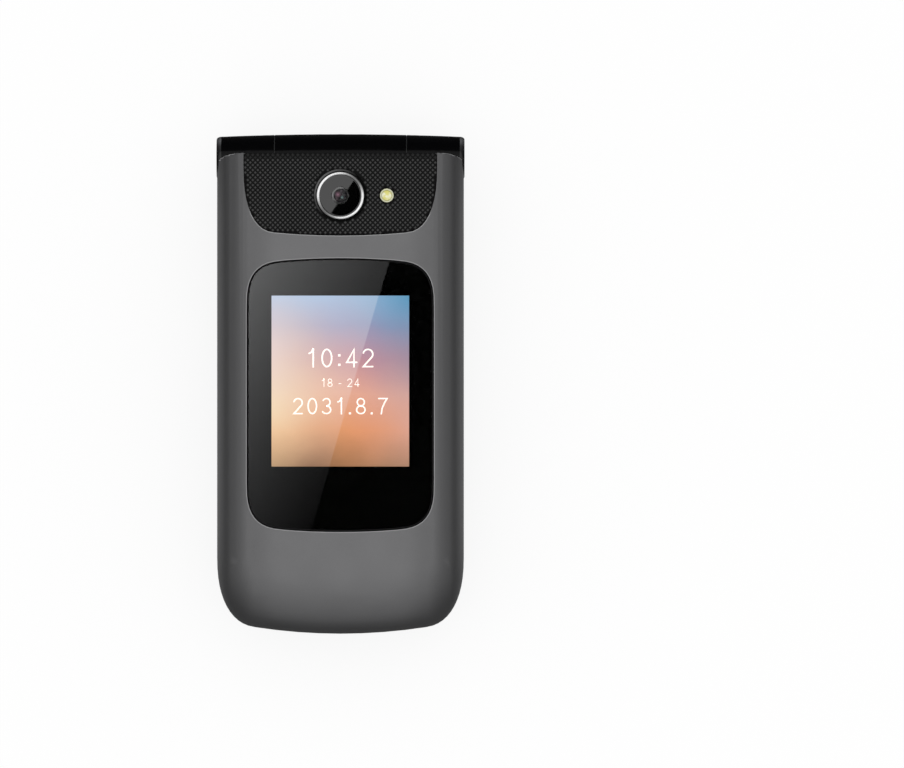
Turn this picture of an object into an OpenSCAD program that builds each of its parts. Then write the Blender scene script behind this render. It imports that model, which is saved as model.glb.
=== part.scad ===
// Clamshell flip phone, modelled closed and lying on its back.
// X is the width, Y runs from the free tip to the hinge, Z goes from the back to the lid's face.
// Pieces are drawn round the hinge axis: y from the axis, z as depth away from the parting plane.

/* [Overall size] */
// Width of both housings
body_w = 51.9; // [49:0.1:57]
// Distance from the hinge axis to the free tip
tip_len = 100.1; // [95:0.1:106]
// Thickness of the base half, from the parting plane to its back
base_t = 11.6; // [11.2:0.1:14]
// Thickness of the lid half, from the parting plane to its face
lid_t = 9; // [8.8:0.1:11]
// Gap between the two closed halves
seam_gap = 0.4; // [0.3:0.05:0.6]

/* [Housing form] */
// Wall of both housings
wall = 1.2; // [1:0.05:1.4]
// Height of the flat side band, from the parting plane
side_flat = 3.6; // [3.3:0.1:4]
// How far the side rounding reaches in over the face
edge_x = 6.5; // [5:0.1:7]
// How far the tip rounding reaches in over the back of the base
base_edge_y = 15; // [12:0.5:17]
// How far the tip rounding reaches in over the face of the lid
lid_edge_y = 14; // [12:0.5:17]
// Reach of the tip corners across the width
corner_x = 8; // [7:0.5:10]
// Reach of the tip corners along the length
corner_y = 13.3; // [10:0.1:15]
// Fullness of the tip corners, where 2 is an ellipse
corner_power = 2.4; // [2:0.1:3]
// Reach of the corners beside the hinge across the width
head_corner_x = 5; // [3:0.1:6]
// Reach of the corners beside the hinge along the length
head_corner_y = 1.6; // [0.8:0.1:2.4]
// Radius of the bow of the tip
tip_bow_r = 117; // [100:1:200]
// Radius of the arc that thins the base towards the hinge
back_taper_r = 40.7; // [38:0.1:50]
// Length of that arc
back_taper_len = 17.3; // [14:0.1:18]
// How far the lid reaches past the hinge axis
lid_head = 1; // [0.5:0.1:1.1]
// How far the base reaches past the hinge axis
base_head = 1; // [0.5:0.1:1.1]
// Length of the finger chamfer along the seam at the tip
lip_len = 1.45; // [1:0.05:2]
// Depth of that chamfer on each half
lip_t = 1.7; // [1.2:0.1:1.8]

/* [Inner frames] */
// Depth of the black frames, from the parting plane
frame_t = 2.8; // [2.6:0.1:3]
// Plate thickness of the frames
frame_plate = 1.8; // [1.6:0.1:1.9]
// Depth of the frames beside the hinge
neck_t = 1.1; // [1:0.05:1.3]
// Distance from the hinge axis to the slanted shoulder
neck_len = 10; // [9:0.1:11]
// Width of the frame's thick rim
rim_w = 2.2; // [2:0.1:2.8]
// Clearance between pieces that fit together
fit = 0.1; // [0.05:0.01:0.15]

/* [Hinge] */
// Radius of the hinge barrel at its middle
barrel_r = 5.05; // [4.9:0.05:5.2]
// How far the barrel stands out past each side of the housings
barrel_proud = 0.15; // [0:0.05:0.4]
// Radius of the long arc that crowns the barrel
barrel_crown_r = 580; // [500:10:900]
// Rounding of the barrel's two ends, on the radius
barrel_round = 0.6; // [0.4:0.05:0.65]
// Reach of that rounding along the barrel
barrel_round_x = 1; // [0.6:0.1:1.6]
// Length of the lid's middle knuckle
knuckle_w = 27.6; // [24:0.1:30]
// Gap between knuckles
knuckle_gap = 0.2; // [0.15:0.05:0.4]
// Gap between the barrel and the housings round it
barrel_gap = 0.4; // [0.35:0.05:0.6]
// Radius of the end discs
end_disc_r = 3.8; // [3.5:0.05:3.85]
// Thickness of the end discs
end_disc_t = 1.2; // [0.8:0.1:2]
// Outer radius of the spring cartridge
case_r = 3.25; // [3:0.05:3.4]
// Wall of the spring cartridge
case_wall = 0.6; // [0.5:0.05:0.8]
// Radius of the turning shaft
shaft_r = 1.2; // [1:0.05:1.4]
// Distance across the flats of the shaft's head
head_flats = 4.6; // [4:0.1:5]
// Length of the shaft's head inside the middle knuckle
head_len = 5; // [4:0.5:6]
// Running clearance, on the radius
run_gap = 0.05; // [0.02:0.01:0.08]
// Outer radius of the hollow bush on the other side
bush_r = 3; // [2.8:0.05:3.2]
// Wire radius of the hinge spring
spring_wire_r = 0.3; // [0.25:0.05:0.35]
// Turns of the hinge spring
spring_turns = 5; // [4:1:6]

/* [Outer face] */
// Distance from the housing's side to the outer window
window_side = 6.35; // [6.3:0.05:8]
// Near edge of the outer window, from the hinge axis
window_near = 21.2; // [20:0.1:23]
// Distance from the tip to the outer window
window_tip = 21.5; // [20:0.1:28]
// Reach of the outer window's corners across the width
window_corner_x = 8; // [5:0.1:9.5]
// Reach of the outer window's corners along the length
window_corner_y = 9; // [5:0.1:10]
// Fullness of those corners, where 2 is an ellipse
window_power = 3; // [2:0.1:3.2]
// Radius of the bow of the window's ends
window_bow_r = 147; // [120:1:300]
// Thickness of the outer window
window_t = 0.8; // [0.6:0.05:1]
// Width of the outer display's picture
picture_w = 28.9; // [24:0.1:30]
// Height of the outer display's picture
picture_h = 35.9; // [30:0.1:38]
// Thickness of the outer display
outer_display_t = 1.6; // [1.2:0.1:1.7]
// Distance from the housing's side to the camera panel
panel_side = 5.65; // [5.5:0.05:7]
// Far edge of the camera panel, from the hinge axis
panel_far = 16.35; // [15.8:0.05:17]
// Reach of the panel's corners across the width
panel_corner_x = 6.5; // [5:0.5:8]
// Reach of the panel's corners along the length
panel_corner_y = 13; // [8:0.5:14]
// Fullness of those corners, where 2 is an ellipse
panel_power = 2.4; // [2:0.1:3]
// Thickness of the camera panel
panel_t = 0.8; // [0.6:0.05:0.9]
// How far the camera panel lies below the face
panel_sunk = 0.3; // [0.2:0.05:0.4]
// Distance from the hinge axis to the camera and the flash
camera_y = 7.96; // [7.9:0.01:8.2]
// Radius of the camera's bright ring
ring_r = 4.95; // [4.7:0.05:5.2]
// Width of the camera's bright ring
ring_w = 0.55; // [0.4:0.05:0.8]
// Side of the square camera module
camera_w = 6.4; // [6:0.1:6.6]
// Distance of the flash from the camera
flash_x = 9.77; // [9:0.1:11]
// Radius of the flash lens
flash_r = 1.45; // [1.2:0.05:1.8]

/* [Inner face of the lid] */
// Distance from the housing's side to the inner window
inner_window_side = 3.45; // [3.4:0.05:4]
// Near edge of the inner window, from the hinge axis
inner_window_near = 17.5; // [17:0.1:19]
// Distance from the tip to the inner window
inner_window_tip = 14.6; // [14.2:0.1:20]
// Thickness of the inner window
inner_window_t = 0.8; // [0.6:0.05:0.9]
// Width of the inner display's picture
inner_picture_w = 36.7; // [33:0.1:38]
// Height of the inner display's picture
inner_picture_h = 49; // [44:0.1:50]
// Thickness of the inner display
inner_display_t = 2.3; // [1.8:0.1:2.4]
// Border of a display module round its picture
display_border = 2.6; // [2:0.1:3]
// Thickness of the lid's circuit board
lid_board_t = 0.8; // [0.6:0.1:0.8]
// Distance from the hinge axis to the earpiece
earpiece_y = 13.2; // [13:0.1:13.4]
// Radius of the rubber bumpers
bumper_r = 2; // [1.6:0.1:2]

/* [Keys] */
// Space between two number keys
key_apart = 1.6; // [1.5:0.1:2.4]
// Distance from the housing's side to the number keys
key_side = 4.25; // [4.2:0.05:5]
// Distance from the tip to the number keys
key_tip = 14.4; // [14.2:0.1:18]
// Distance from the hinge axis to the first row of number keys
key_row_1 = 48; // [47.5:0.1:48.5]
// Corner radius of a number key
key_r = 2.4; // [1:0.1:3]
// Travel of every key
key_travel = 0.3; // [0.2:0.05:0.35]
// Gap round every key
key_gap = 0.2; // [0.15:0.01:0.25]
// Width of the retaining flange round every key
key_flange = 0.5; // [0.4:0.05:0.5]
// Distance from the hinge axis to the middle of the navigation ring
nav_y = 28; // [27.5:0.1:28.2]
// Outer radius of the navigation ring
nav_r = 10.5; // [9.5:0.1:10.6]
// Radius of the centre key
ok_r = 4.8; // [4:0.1:5]
// Distance from the housing's side to the soft, call and end keys
side_key_side = 3.65; // [3.6:0.05:4.5]
// Height of the soft, call and end keys
side_key_h = 8; // [7:0.1:8]
// Space between those keys and the navigation ring
side_key_apart = 0.8; // [0.75:0.05:1.2]
// Distance of the side keys above and below the middle of the ring
side_key_dy = 7.5; // [7.4:0.1:7.8]
// Depth of the recess that the keys lie in
field_sunk = 0.5; // [0.3:0.05:0.6]
// Radius of the crown across a number key
key_crown_r = 90; // [60:5:200]

/* [Back and inside of the base] */
// Distance from the housing's side to the battery cover
cover_side = 6.95; // [6.9:0.05:8]
// Distance from the tip to the battery cover
cover_tip = 16.1; // [16:0.1:20]
// Thickness of the battery cover
cover_t = 1; // [0.8:0.05:1]
// Distance from the hinge axis to the battery cover
cover_near = 30; // [29.5:0.1:31]
// Corner radius of the battery cover
cover_r = 4; // [2:0.5:6]
// Play beside the battery
battery_play = 0.3; // [0.1:0.05:0.6]
// Room for the contacts at the battery's end
contact_room = 3; // [2.5:0.1:5]
// Floor of the battery bay
bay_floor = 0.5; // [0.4:0.05:0.6]
// Thickness of the card holder under the battery
sim_t = 1; // [0.8:0.05:1.2]
// Thickness of the main circuit board
board_t = 1; // [0.8:0.05:1]
// Width of the loudspeaker
speaker_w = 16; // [14:0.5:16]
// Length of the loudspeaker
speaker_l = 9.5; // [8:0.5:10]
// Thickness of the loudspeaker
speaker_t = 3; // [2.4:0.1:3.2]
// Distance of the loudspeaker from the middle line
speaker_x = 9; // [8.5:0.5:10]
// Distance from the hinge axis to the loudspeaker
speaker_y = 22.5; // [22:0.1:23]
// Radius of one hole of the loudspeaker grille
grille_hole_r = 0.5; // [0.4:0.05:0.6]
// Radius of the vibration motor
motor_r = 2; // [1.6:0.1:2]

/* [Sockets and screws] */
// Radius of the headset socket's bore
jack_r = 1.8; // [1.76:0.01:1.85]
// Depth of the headset socket's bore
jack_depth = 9; // [8:0.5:9.5]
// Distance from the hinge axis to the headset socket
jack_y = 14.6; // [14.4:0.1:15.5]
// Width of the charging socket's opening
usb_w = 7.6; // [7:0.1:8]
// Height of the charging socket's opening
usb_h = 2.6; // [2.4:0.1:3]
// Distance from the hinge axis to the charging socket
usb_y = 38; // [37:0.5:40]
// Length of the volume key
volume_l = 14; // [12:0.5:16]
// Width of the volume key
volume_w = 2.6; // [2.2:0.1:2.8]
// How far the volume key's flange reaches past it at each end
volume_lip = 0.7; // [0.4:0.1:1]
// Distance from the hinge axis to the volume key
volume_y = 60; // [57:0.5:64]
// Radius of a screw's thread
screw_r = 0.7; // [0.6:0.05:0.8]
// Radius of a screw's head
screw_head_r = 1.4; // [1.2:0.05:1.5]
// Thickness of a screw's head
screw_head_t = 0.8; // [0.6:0.05:0.9]

/* [Hidden] */
number_keys = [
    ["key_1", "key_2", "key_3"],
    ["key_4", "key_5", "key_6"],
    ["key_7", "key_8", "key_9"],
    ["key_star", "key_0", "key_hash"]
];
nav_keys = ["nav_right", "nav_up", "nav_left", "nav_down"];
// Name, side of the middle line, and 0 for the row above the ring or 1 for the row below it
side_keys = [
    ["soft_left", -1, 0],
    ["soft_right", 1, 0],
    ["call_key", -1, 1],
    ["end_key", 1, 1]
];
$fn = 48;

housing_grey = [0.30, 0.30, 0.31];
frame_black = [0.06, 0.06, 0.065];
key_black = [0.10, 0.10, 0.105];
steel = [0.72, 0.72, 0.74];
gold = [0.85, 0.68, 0.32];
board_green = [0.08, 0.33, 0.20];
glass_black = [0.02, 0.02, 0.025];

hw = body_w / 2;
far = 200;
hinge_y = (tip_len - barrel_r) / 2;
barrel_hw = hw + barrel_proud;
window_hw = hw - window_side;
window_far = tip_len - window_tip;
panel_hw = hw - panel_side;
inner_window_hw = hw - inner_window_side;
inner_window_far = tip_len - inner_window_tip;
key_pitch_x = (hw - key_side + key_apart / 2) / 1.5;
key_pitch_y = (tip_len - key_tip - key_row_1 + key_apart / 2) / 3.5;
key_w = key_pitch_x - key_apart;
key_h = key_pitch_y - key_apart;
side_key_w = hw - side_key_side - nav_r - side_key_apart;
side_key_x = hw - side_key_side - side_key_w / 2;
cover_w = 2 * (hw - cover_side);
cover_l = tip_len - cover_tip - cover_near;
knuckle_hw = knuckle_w / 2;
clear_r = barrel_r + barrel_gap;
trough_r = clear_r + wall;
web_hw = hw - wall - 0.2;
web_t = frame_t - 0.2;
web_grip = 1.5;
touch = 0.05;
snug = 0.02;
ledge_w = 1.4;

// Depths in the base, counted from the parting plane
face_d = seam_gap / 2;
field_d = face_d + field_sunk;
key_top = face_d + 0.1;
plate_d = face_d + frame_plate;
flange_top = plate_d + touch;
flange_d = flange_top + 0.45;
plunger_d = flange_d + 0.5;
dome_top = plunger_d + key_travel;
film_top = dome_top + 0.15;
board_top = film_top + 0.2;
board_d = board_top + board_t;
bay_top = board_d + fit;
bay_d = bay_top + bay_floor;
sim_d = bay_d + sim_t;
cover_d = base_t - cover_t;
battery_top = sim_d + fit;
battery_d = cover_d - fit;
speaker_d = base_t - wall - fit;
screw_seat = base_t - 2.4;
screw_tip_d = plate_d - 0.5;
boss_d = board_d + 0.2;

// Depths in the lid, counted from the parting plane
inner_window_d = face_d + inner_window_t;
inner_display_top = plate_d + fit;
inner_display_d = inner_display_top + inner_display_t;
lid_board_top = inner_display_d + fit;
lid_board_d = lid_board_top + lid_board_t;
window_seat = lid_t - window_t - touch;
window_ledge = lid_t - wall - 0.5;
panel_d = lid_t - panel_sunk;
panel_seat = panel_d - panel_t - touch;
panel_ledge = panel_seat - 0.7;
camera_glass_t = 0.7;
lid_board_hw = hw - 7.95;
lid_board_far = tip_len - 25.1;
bumper_t = 0.6;
lid_screw_seat = face_d + bumper_t + screw_head_t;
lid_screw_end = lid_t - wall - 0.6;
outer_display_d = window_ledge - touch;

// Places in plan, counted from the hinge axis
picture_y = 2.95 - (window_near + window_far) / 2;
inner_picture_y = 1 - (inner_window_near + inner_window_far) / 2;
bay_rim = 1.7;
bay_near = cover_near + bay_rim;
bay_far = cover_near + cover_l - bay_rim;
bay_hw = cover_w / 2 - bay_rim;
cover_y = -(cover_near + cover_l / 2);
battery_w = 2 * (bay_hw - battery_play);
battery_l = bay_far - bay_near - contact_room - fit;
battery_y = battery_l / 2 + fit - bay_far;
battery_near = battery_y + battery_l / 2;
contact_pitch = 3;
contact_w = 1;
contact_h = 2.2;
contact_body = contact_room - 0.5;
contact_d = bay_d + 2.3;
pad_sunk = 0.3;
boss_r = 2;
base_head_screw = [hw - 5.65, -nav_y];
base_tip_screw = [hw - 6.95, 10.1 - tip_len];
lid_head_screw = [hw - 4.65, -13.5];
lid_tip_screw = [hw - 6.45, 10.1 - tip_len];
field_hw = side_key_x + side_key_w / 2 + key_gap + 0.4;
field_near = nav_y - nav_r - 1.7;
field_far = key_row_1 + 3 * key_pitch_y + key_h / 2 + 1.5;
side_key_r = 2.4;
plunger_r = 1.2;
dome_r = 2;
nav_mid_r = (ok_r + key_gap + nav_r) / 2;
motor_y = 9.1 - tip_len;
motor_d = board_d + fit + motor_r;
motor_x = hw - 22.95;
motor_l = 8;
motor_shaft_r = 0.4;
motor_wall = 1;
mic_y = 7.6 - tip_len;
mic_r = 2;
mic_hole_r = 0.5;
earpiece_w = 10;
earpiece_l = 3.8;
earpiece_slot = 1.4;
can_t = 1.6;
can_corner = 0.8;
can_side = 9.95;
// Middle and size of each shield can: one beside the hinge, one beside the loudspeaker
can_w = hw - can_side;
shield_can_places = [[1, -13.5, 14, 7.5], [can_w / 2 + 1.5, -2 - speaker_y, can_w, 8]];
antenna_hw = (hw - can_side) / 2;
antenna_hl = 4;
antenna_t = 2.6;
antenna_edge = 0.6;
antenna_track = 1.4;
card_w = 25;
card_l = 15;
card_rim = 1.5;
sheet_t = 0.2;

// Sockets and volume key on the side +X
jack_half = jack_r + 0.8;
jack_d = board_d + jack_half;
jack_mouth = hw - 2.45;
jack_body_x = hw - 4.75;
jack_nose_r = jack_r + 0.6;
usb_wall = 0.3;
usb_d = board_d + usb_wall + usb_h / 2;
usb_mouth = hw - 2.55;
volume_d = board_d + volume_w / 2 + 0.3;
volume_flange_x = hw - 2.85;
volume_flange_t = 0.5;

// Inside of the hinge
case_x0 = knuckle_hw + knuckle_gap;
case_x1 = barrel_hw - end_disc_t - fit;
disc_x0 = case_x0 + case_wall + touch;
disc_x1 = disc_x0 + 2;
head_r = 3.1;
bush_grip = 5;
bush_reach = 7.4;
flex_room_r = 3.7;
flex_turns = 2.25;
flex_steps = 54;
flex_t = 0.15;

// ---------- helpers ----------

module lid_side() translate([0, hinge_y, base_t]) children();
module base_side() lid_side() mirror([0, 0, 1]) children();

// One quarter of a superellipse, from the side at 0 to the end at 90 degrees
function quarter(a, cx, cy, p) = [cx * pow(cos(a), 2 / p), cy * pow(sin(a), 2 / p)];
function bow(x, r) = r > 0 ? x * x / (2 * r) : 0;

// A side that cuts a corner off leans by this much, so that its points never fall on one line
cut_lean = 0.05;

// Points of a rounded corner on the side s, at the high or the low end of an outline.
// A high corner is drawn for the half width wide, and a smaller half width w cuts it off.
function high_corner(share, s, w, hi, c, bow_r, p, wide) =
    let (q = quarter(90 * share, c[0], c[1], p), x = min(w - cut_lean * share * share, wide - c[0] + q[0]))
    [s * x, hi - c[1] + q[1] - bow(x, bow_r)];
function low_corner(share, s, w, lo, c, bow_r, p) =
    let (q = quarter(90 * share, c[0], c[1], p), x = w - c[0] + q[0])
    [s * x, lo + c[1] - q[1] + bow(x, bow_r)];

// Outline of half width w from y = lo to y = hi, with bowed ends and rounded corners
function outline(w, lo, hi, lo_c, hi_c, lo_bow, hi_bow,
                 p = 2, n_lo = 12, n_hi = 6, n_bow = 8, hi_p = 2, wide = 0) = concat(
    [for (i = [0 : n_hi]) high_corner(i / n_hi, 1, w, hi, hi_c, hi_bow, hi_p, max(w, wide))],
    [for (i = [n_hi : -1 : 0]) high_corner(i / n_hi, -1, w, hi, hi_c, hi_bow, hi_p, max(w, wide))],
    [for (i = [0 : n_lo]) low_corner(i / n_lo, -1, w, lo, lo_c, lo_bow, p)],
    [for (i = [1 : n_bow - 1]) let (x = (w - lo_c[0]) * (2 * i / n_bow - 1)) [x, lo + bow(x, lo_bow)]],
    [for (i = [n_lo : -1 : 0]) low_corner(i / n_lo, 1, w, lo, lo_c, lo_bow, p)]
);

// Plan of a half, drawn in by inset, at a level where its rounding has reached the share f
function plan(inset, f = 0, edge_y = 0, head = 0) =
    let (least = 1.2,
         cx = corner_x - inset,
         cy = corner_y - inset)
    outline(hw - inset - (edge_x - inset) * f,
            -tip_len + inset + (edge_y - inset) * f,
            head - inset,
            [cx - (cx - least) * f, cy - (cy - least) * f],
            [max(head_corner_x - inset, 1), max(head_corner_y - inset, 0.6)],
            tip_bow_r, 0, corner_power, wide = hw - inset);

// Where the slanted end beside the hinge lies at depth d; an arc thins a tapered half
function head_at(t, d, head, tapered) =
    let (slanted = head * d / t)
    tapered ? min(slanted, sqrt(max(0, 2 * back_taper_r * (t - d))) - back_taper_len) : slanted;

// Closed solid through rings of equal length, given from the first to the last
module loft(rings) {
    n = len(rings[0]);
    last = (len(rings) - 1) * n;
    sides = [for (i = [0 : len(rings) - 2]) for (j = [0 : n - 1])
        let (k = (j + 1) % n)
        each [[i * n + j, (i + 1) * n + j, (i + 1) * n + k], [i * n + j, (i + 1) * n + k, i * n + k]]];
    caps = [[for (j = [0 : n - 1]) j], [for (j = [n - 1 : -1 : 0]) last + j]];
    polyhedron([for (r = rings) each r], concat(sides, caps));
}

// Rounded body of one half, drawn in by inset
module half_body(t, edge_y, head, tapered, inset, steps) {
    rise = t - inset - side_flat;
    levels = concat([[neck_t, 0], [side_flat, 0]],
                    [for (i = [1 : steps]) let (a = 90 * i / steps) [side_flat + rise * sin(a), 1 - cos(a)]]);
    loft([for (l = levels)
        [for (p = plan(inset, l[1], edge_y, head_at(t, l[0] + inset, head, tapered))) [p[0], p[1], l[0]]]]);
}

module slab(points, z0, z1) translate([0, 0, z0]) linear_extrude(z1 - z0) polygon(points);

module block(x, y, z) translate([x[0], y[0], z[0]]) cube([x[1] - x[0], y[1] - y[0], z[1] - z[0]]);

module rod_z(r, z0, z1) translate([0, 0, z0]) cylinder(r = r, h = z1 - z0);

module rod_x(r, x0, x1) translate([x0, 0, 0]) rotate([0, 90, 0]) cylinder(r = r, h = x1 - x0);

module rounded_rect(w, h, r) {
    square([w - 2 * r, h], center = true);
    square([w, h - 2 * r], center = true);
    for (sx = [-1, 1])
        for (sy = [-1, 1])
            translate([sx * (w / 2 - r), sy * (h / 2 - r)]) circle(r);
}

// Slot shape: l long along Y, w wide, with round ends
module stadium(w, l) {
    square([w, l - w], center = true);
    for (s = [-1, 1]) translate([0, s * (l - w) / 2]) circle(w / 2);
}

module tile(w, h, r, z0, z1) translate([0, 0, z0]) linear_extrude(z1 - z0) rounded_rect(w, h, r);

module on_both_sides(place) for (s = [-1, 1]) translate([s * place[0], place[1], 0]) children();

// Profile of the barrel between two places along X, turned round the hinge axis
function barrel_at(x) = barrel_r - bow(x, barrel_crown_r);
module barrel(x0, x1) {
    steps = 6;
    rotate([0, 90, 0]) rotate_extrude() polygon(concat(
        [[0, x0]],
        [for (i = [0 : steps]) let (x = x0 + (x1 - x0) * i / steps) [barrel_at(x), x]],
        [[0, x1]]));
}

// Outer knuckle on the side +X, with its rounded end
module outer_knuckle() {
    steps = 6;
    x0 = knuckle_hw + knuckle_gap;
    x1 = barrel_hw - barrel_round_x;
    turn = 6;
    rotate([0, 90, 0]) rotate_extrude() polygon(concat(
        [[0, x0]],
        [for (i = [0 : steps]) let (x = x0 + (x1 - x0) * i / steps) [barrel_at(x), x]],
        [for (i = [1 : turn]) let (a = 90 * i / turn)
            [barrel_at(x1) - barrel_round * (1 - cos(a)), x1 + barrel_round_x * sin(a)]],
        [[0, barrel_hw]]));
}

// ---------- housings ----------

// Prism along X with the given outline in Y and depth
module across(points) rotate([90, 0, 90]) translate([0, 0, -far / 2]) linear_extrude(far) polygon(points);

// The frame takes the place of the housing's rim up to a slanted shoulder
module rim_cut() {
    shoulder = -neck_len - frame_t + neck_t;
    across([[-far, 0], [-far, frame_t], [shoulder, frame_t], [-neck_len, neck_t], [-neck_len, 0]]);
}

module base_cavity() difference() {
    half_body(base_t, base_edge_y, base_head, true, wall, 6);
    rod_x(trough_r, -far / 2, far / 2);
    // Battery bay and the ledge round the battery cover
    block([-bay_hw - wall, bay_hw + wall], [-bay_far - wall, wall - bay_near], [bay_top, base_t]);
    translate([0, cover_y, 0]) tile(cover_w + 2 * wall, cover_l + 2 * wall, cover_r, cover_d - 0.9, base_t);
    for (place = [base_head_screw, base_tip_screw])
        on_both_sides(place) rod_z(boss_r, boss_d + fit, base_t);
}

module base_openings() {
    translate([0, cover_y, 0])
        tile(cover_w + 2 * fit, cover_l + 2 * fit, cover_r + fit, cover_d - touch, far);
    block([-bay_hw, bay_hw], [-bay_far, -bay_near], [bay_d, far]);
    // Loudspeaker grille
    for (i = [-3 : 3])
        for (j = [-1 : 1])
            translate([2 * i - speaker_x, 2 * j - speaker_y, 0]) rod_z(grille_hole_r, speaker_d, far);
    // Screws, sunk from the back
    for (place = [base_head_screw, base_tip_screw])
        on_both_sides(place) {
            rod_z(screw_r + run_gap, boss_d, far);
            rod_z(screw_head_r + fit, screw_seat, far);
        }
    // Sockets and volume key
    translate([0, -jack_y, jack_d]) rod_x(jack_nose_r + fit, jack_body_x, far);
    translate([0, -usb_y, usb_d]) side_slot(usb_w + 0.8, usb_h + 0.8);
    translate([0, -volume_y, volume_d]) side_slot(volume_l + 2 * key_gap, volume_w + 2 * key_gap);
}

// Slot with round ends through the wall on the side +X
module side_slot(l, w) translate([hw - 4, 0, 0]) rotate([0, 90, 0]) linear_extrude(far) stadium(w, l);

module base_housing() color(housing_grey) base_side() difference() {
    half_body(base_t, base_edge_y, base_head, true, 0, 10);
    base_cavity();
    rim_cut();
    rod_x(clear_r, -far / 2, far / 2);
    base_openings();
    // Room for the frame's webs to the outer knuckles
    for (s = [0, 1])
        mirror([s, 0, 0]) block([knuckle_hw, web_hw + fit], [-neck_len, 0], [0, frame_t]);
}

function window_outline(grow) =
    let (corner = [window_corner_x + grow, window_corner_y + grow])
    outline(window_hw + grow, -window_far - grow, grow - window_near, corner, corner,
            window_bow_r, window_bow_r, window_power, 10, 10, 8, window_power);

function panel_outline(grow, head) = outline(panel_hw + grow, -panel_far - grow, head,
    [panel_corner_x + grow, panel_corner_y + grow], [0.5, 0.5],
    window_bow_r, 0, panel_power, 10, 2, 6);

module lid_cavity() difference() {
    half_body(lid_t, lid_edge_y, lid_head, false, wall, 6);
    rod_x(trough_r, -far / 2, far / 2);
    // Ledges that carry the outer window and the camera panel
    slab(window_outline(ledge_w), window_ledge, lid_t);
    slab(panel_outline(ledge_w, lid_head + 1), panel_ledge, lid_t);
    for (place = [lid_head_screw, lid_tip_screw])
        on_both_sides(place) rod_z(boss_r, frame_t + fit, lid_t);
}

module lid_housing() color(housing_grey) lid_side() difference() {
    half_body(lid_t, lid_edge_y, lid_head, false, 0, 10);
    lid_cavity();
    rim_cut();
    rod_x(clear_r, -far / 2, far / 2);
    slab(window_outline(touch), window_seat, far);
    slab(panel_outline(touch, lid_head + 1), panel_seat, far);
    // Sight of the outer display, the camera and the flash
    translate([0, picture_y, 0]) tile(picture_w + 1.6, picture_h + 1.6, 1, window_ledge - 1, far);
    translate([0, -camera_y, 0]) rod_z(camera_w / 2 + 0.6, panel_ledge - 1, far);
    translate([flash_x, -camera_y, 0]) rod_z(flash_r + fit, panel_ledge - 1, far);
    for (place = [lid_head_screw, lid_tip_screw])
        on_both_sides(place) rod_z(screw_r + run_gap, 0, lid_screw_end + fit);
    // Room for the frame's web to the middle knuckle
    block([-knuckle_hw - fit, knuckle_hw + fit], [-neck_len, 0], [0, frame_t]);
}

// ---------- frames ----------

// Plate that closes a half: thick rim, thinner middle, shallow neck beside the hinge
module frame_body() difference() {
    slab(plan(0), face_d, frame_t);
    slab(plan(rim_w, head = -neck_len + 1), plate_d, far);
    difference() {
        across([[-neck_len - frame_t + neck_t, frame_t], [-neck_len, neck_t], [far, neck_t], [far, far],
                [-neck_len - frame_t + neck_t, far]]);
        slab(plan(wall + fit, head = wall - trough_r), 0, frame_t + 1);
    }
    rod_x(clear_r, -far / 2, far / 2);
    // Finger chamfer along the seam at the tip
    across([[-far, 0], [lip_len - tip_len, 0], [lip_len - tip_len, face_d], [-tip_len, face_d + lip_t],
            [-far, face_d + lip_t]]);
}

// Web from the plate to a knuckle, and the knuckle's own solid
module web(x0, x1) block([x0, x1], [-neck_len, web_grip - barrel_r], [face_d, web_t]);

module base_frame() color(frame_black) base_side() difference() {
    union() {
        frame_body();
        for (s = [0, 1])
            mirror([s, 0, 0]) {
                outer_knuckle();
                web(knuckle_hw + knuckle_gap, web_hw);
            }
        for (place = [base_head_screw, base_tip_screw])
            on_both_sides(place) rod_z(boss_r - 0.2, plate_d - touch, boss_d);
    }
    // The middle knuckle turns here
    rod_x(clear_r, -knuckle_hw - knuckle_gap, knuckle_hw + knuckle_gap);
    // Bores for the cartridge and the bush, recesses for the end discs
    rod_x(case_r + snug, 0, barrel_hw);
    rod_x(bush_r + run_gap, -knuckle_hw - bush_reach - 0.5, 0);
    for (s = [0, 1])
        mirror([s, 0, 0]) rod_x(end_disc_r + snug, barrel_hw - end_disc_t - touch, barrel_hw + 1);
    // Recess of the keys and their openings
    slab(outline(field_hw, -field_far, -field_near, [3, 3], [3, 3], 0, 0, 2, 6, 6, 2), 0, field_d);
    linear_extrude(far) key_openings();
    for (place = [base_head_screw, base_tip_screw])
        on_both_sides(place) rod_z(screw_r + run_gap, screw_tip_d - fit, far);
    // Sound hole of the microphone
    translate([0, mic_y, 0]) rod_z(mic_hole_r, 0, far);
}

function inner_window_outline(grow) = outline(inner_window_hw + grow, -inner_window_far - grow,
    grow - inner_window_near, [3 + grow, 3 + grow], [3 + grow, 3 + grow], 0, 0, 2, 6, 6, 2);

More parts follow.
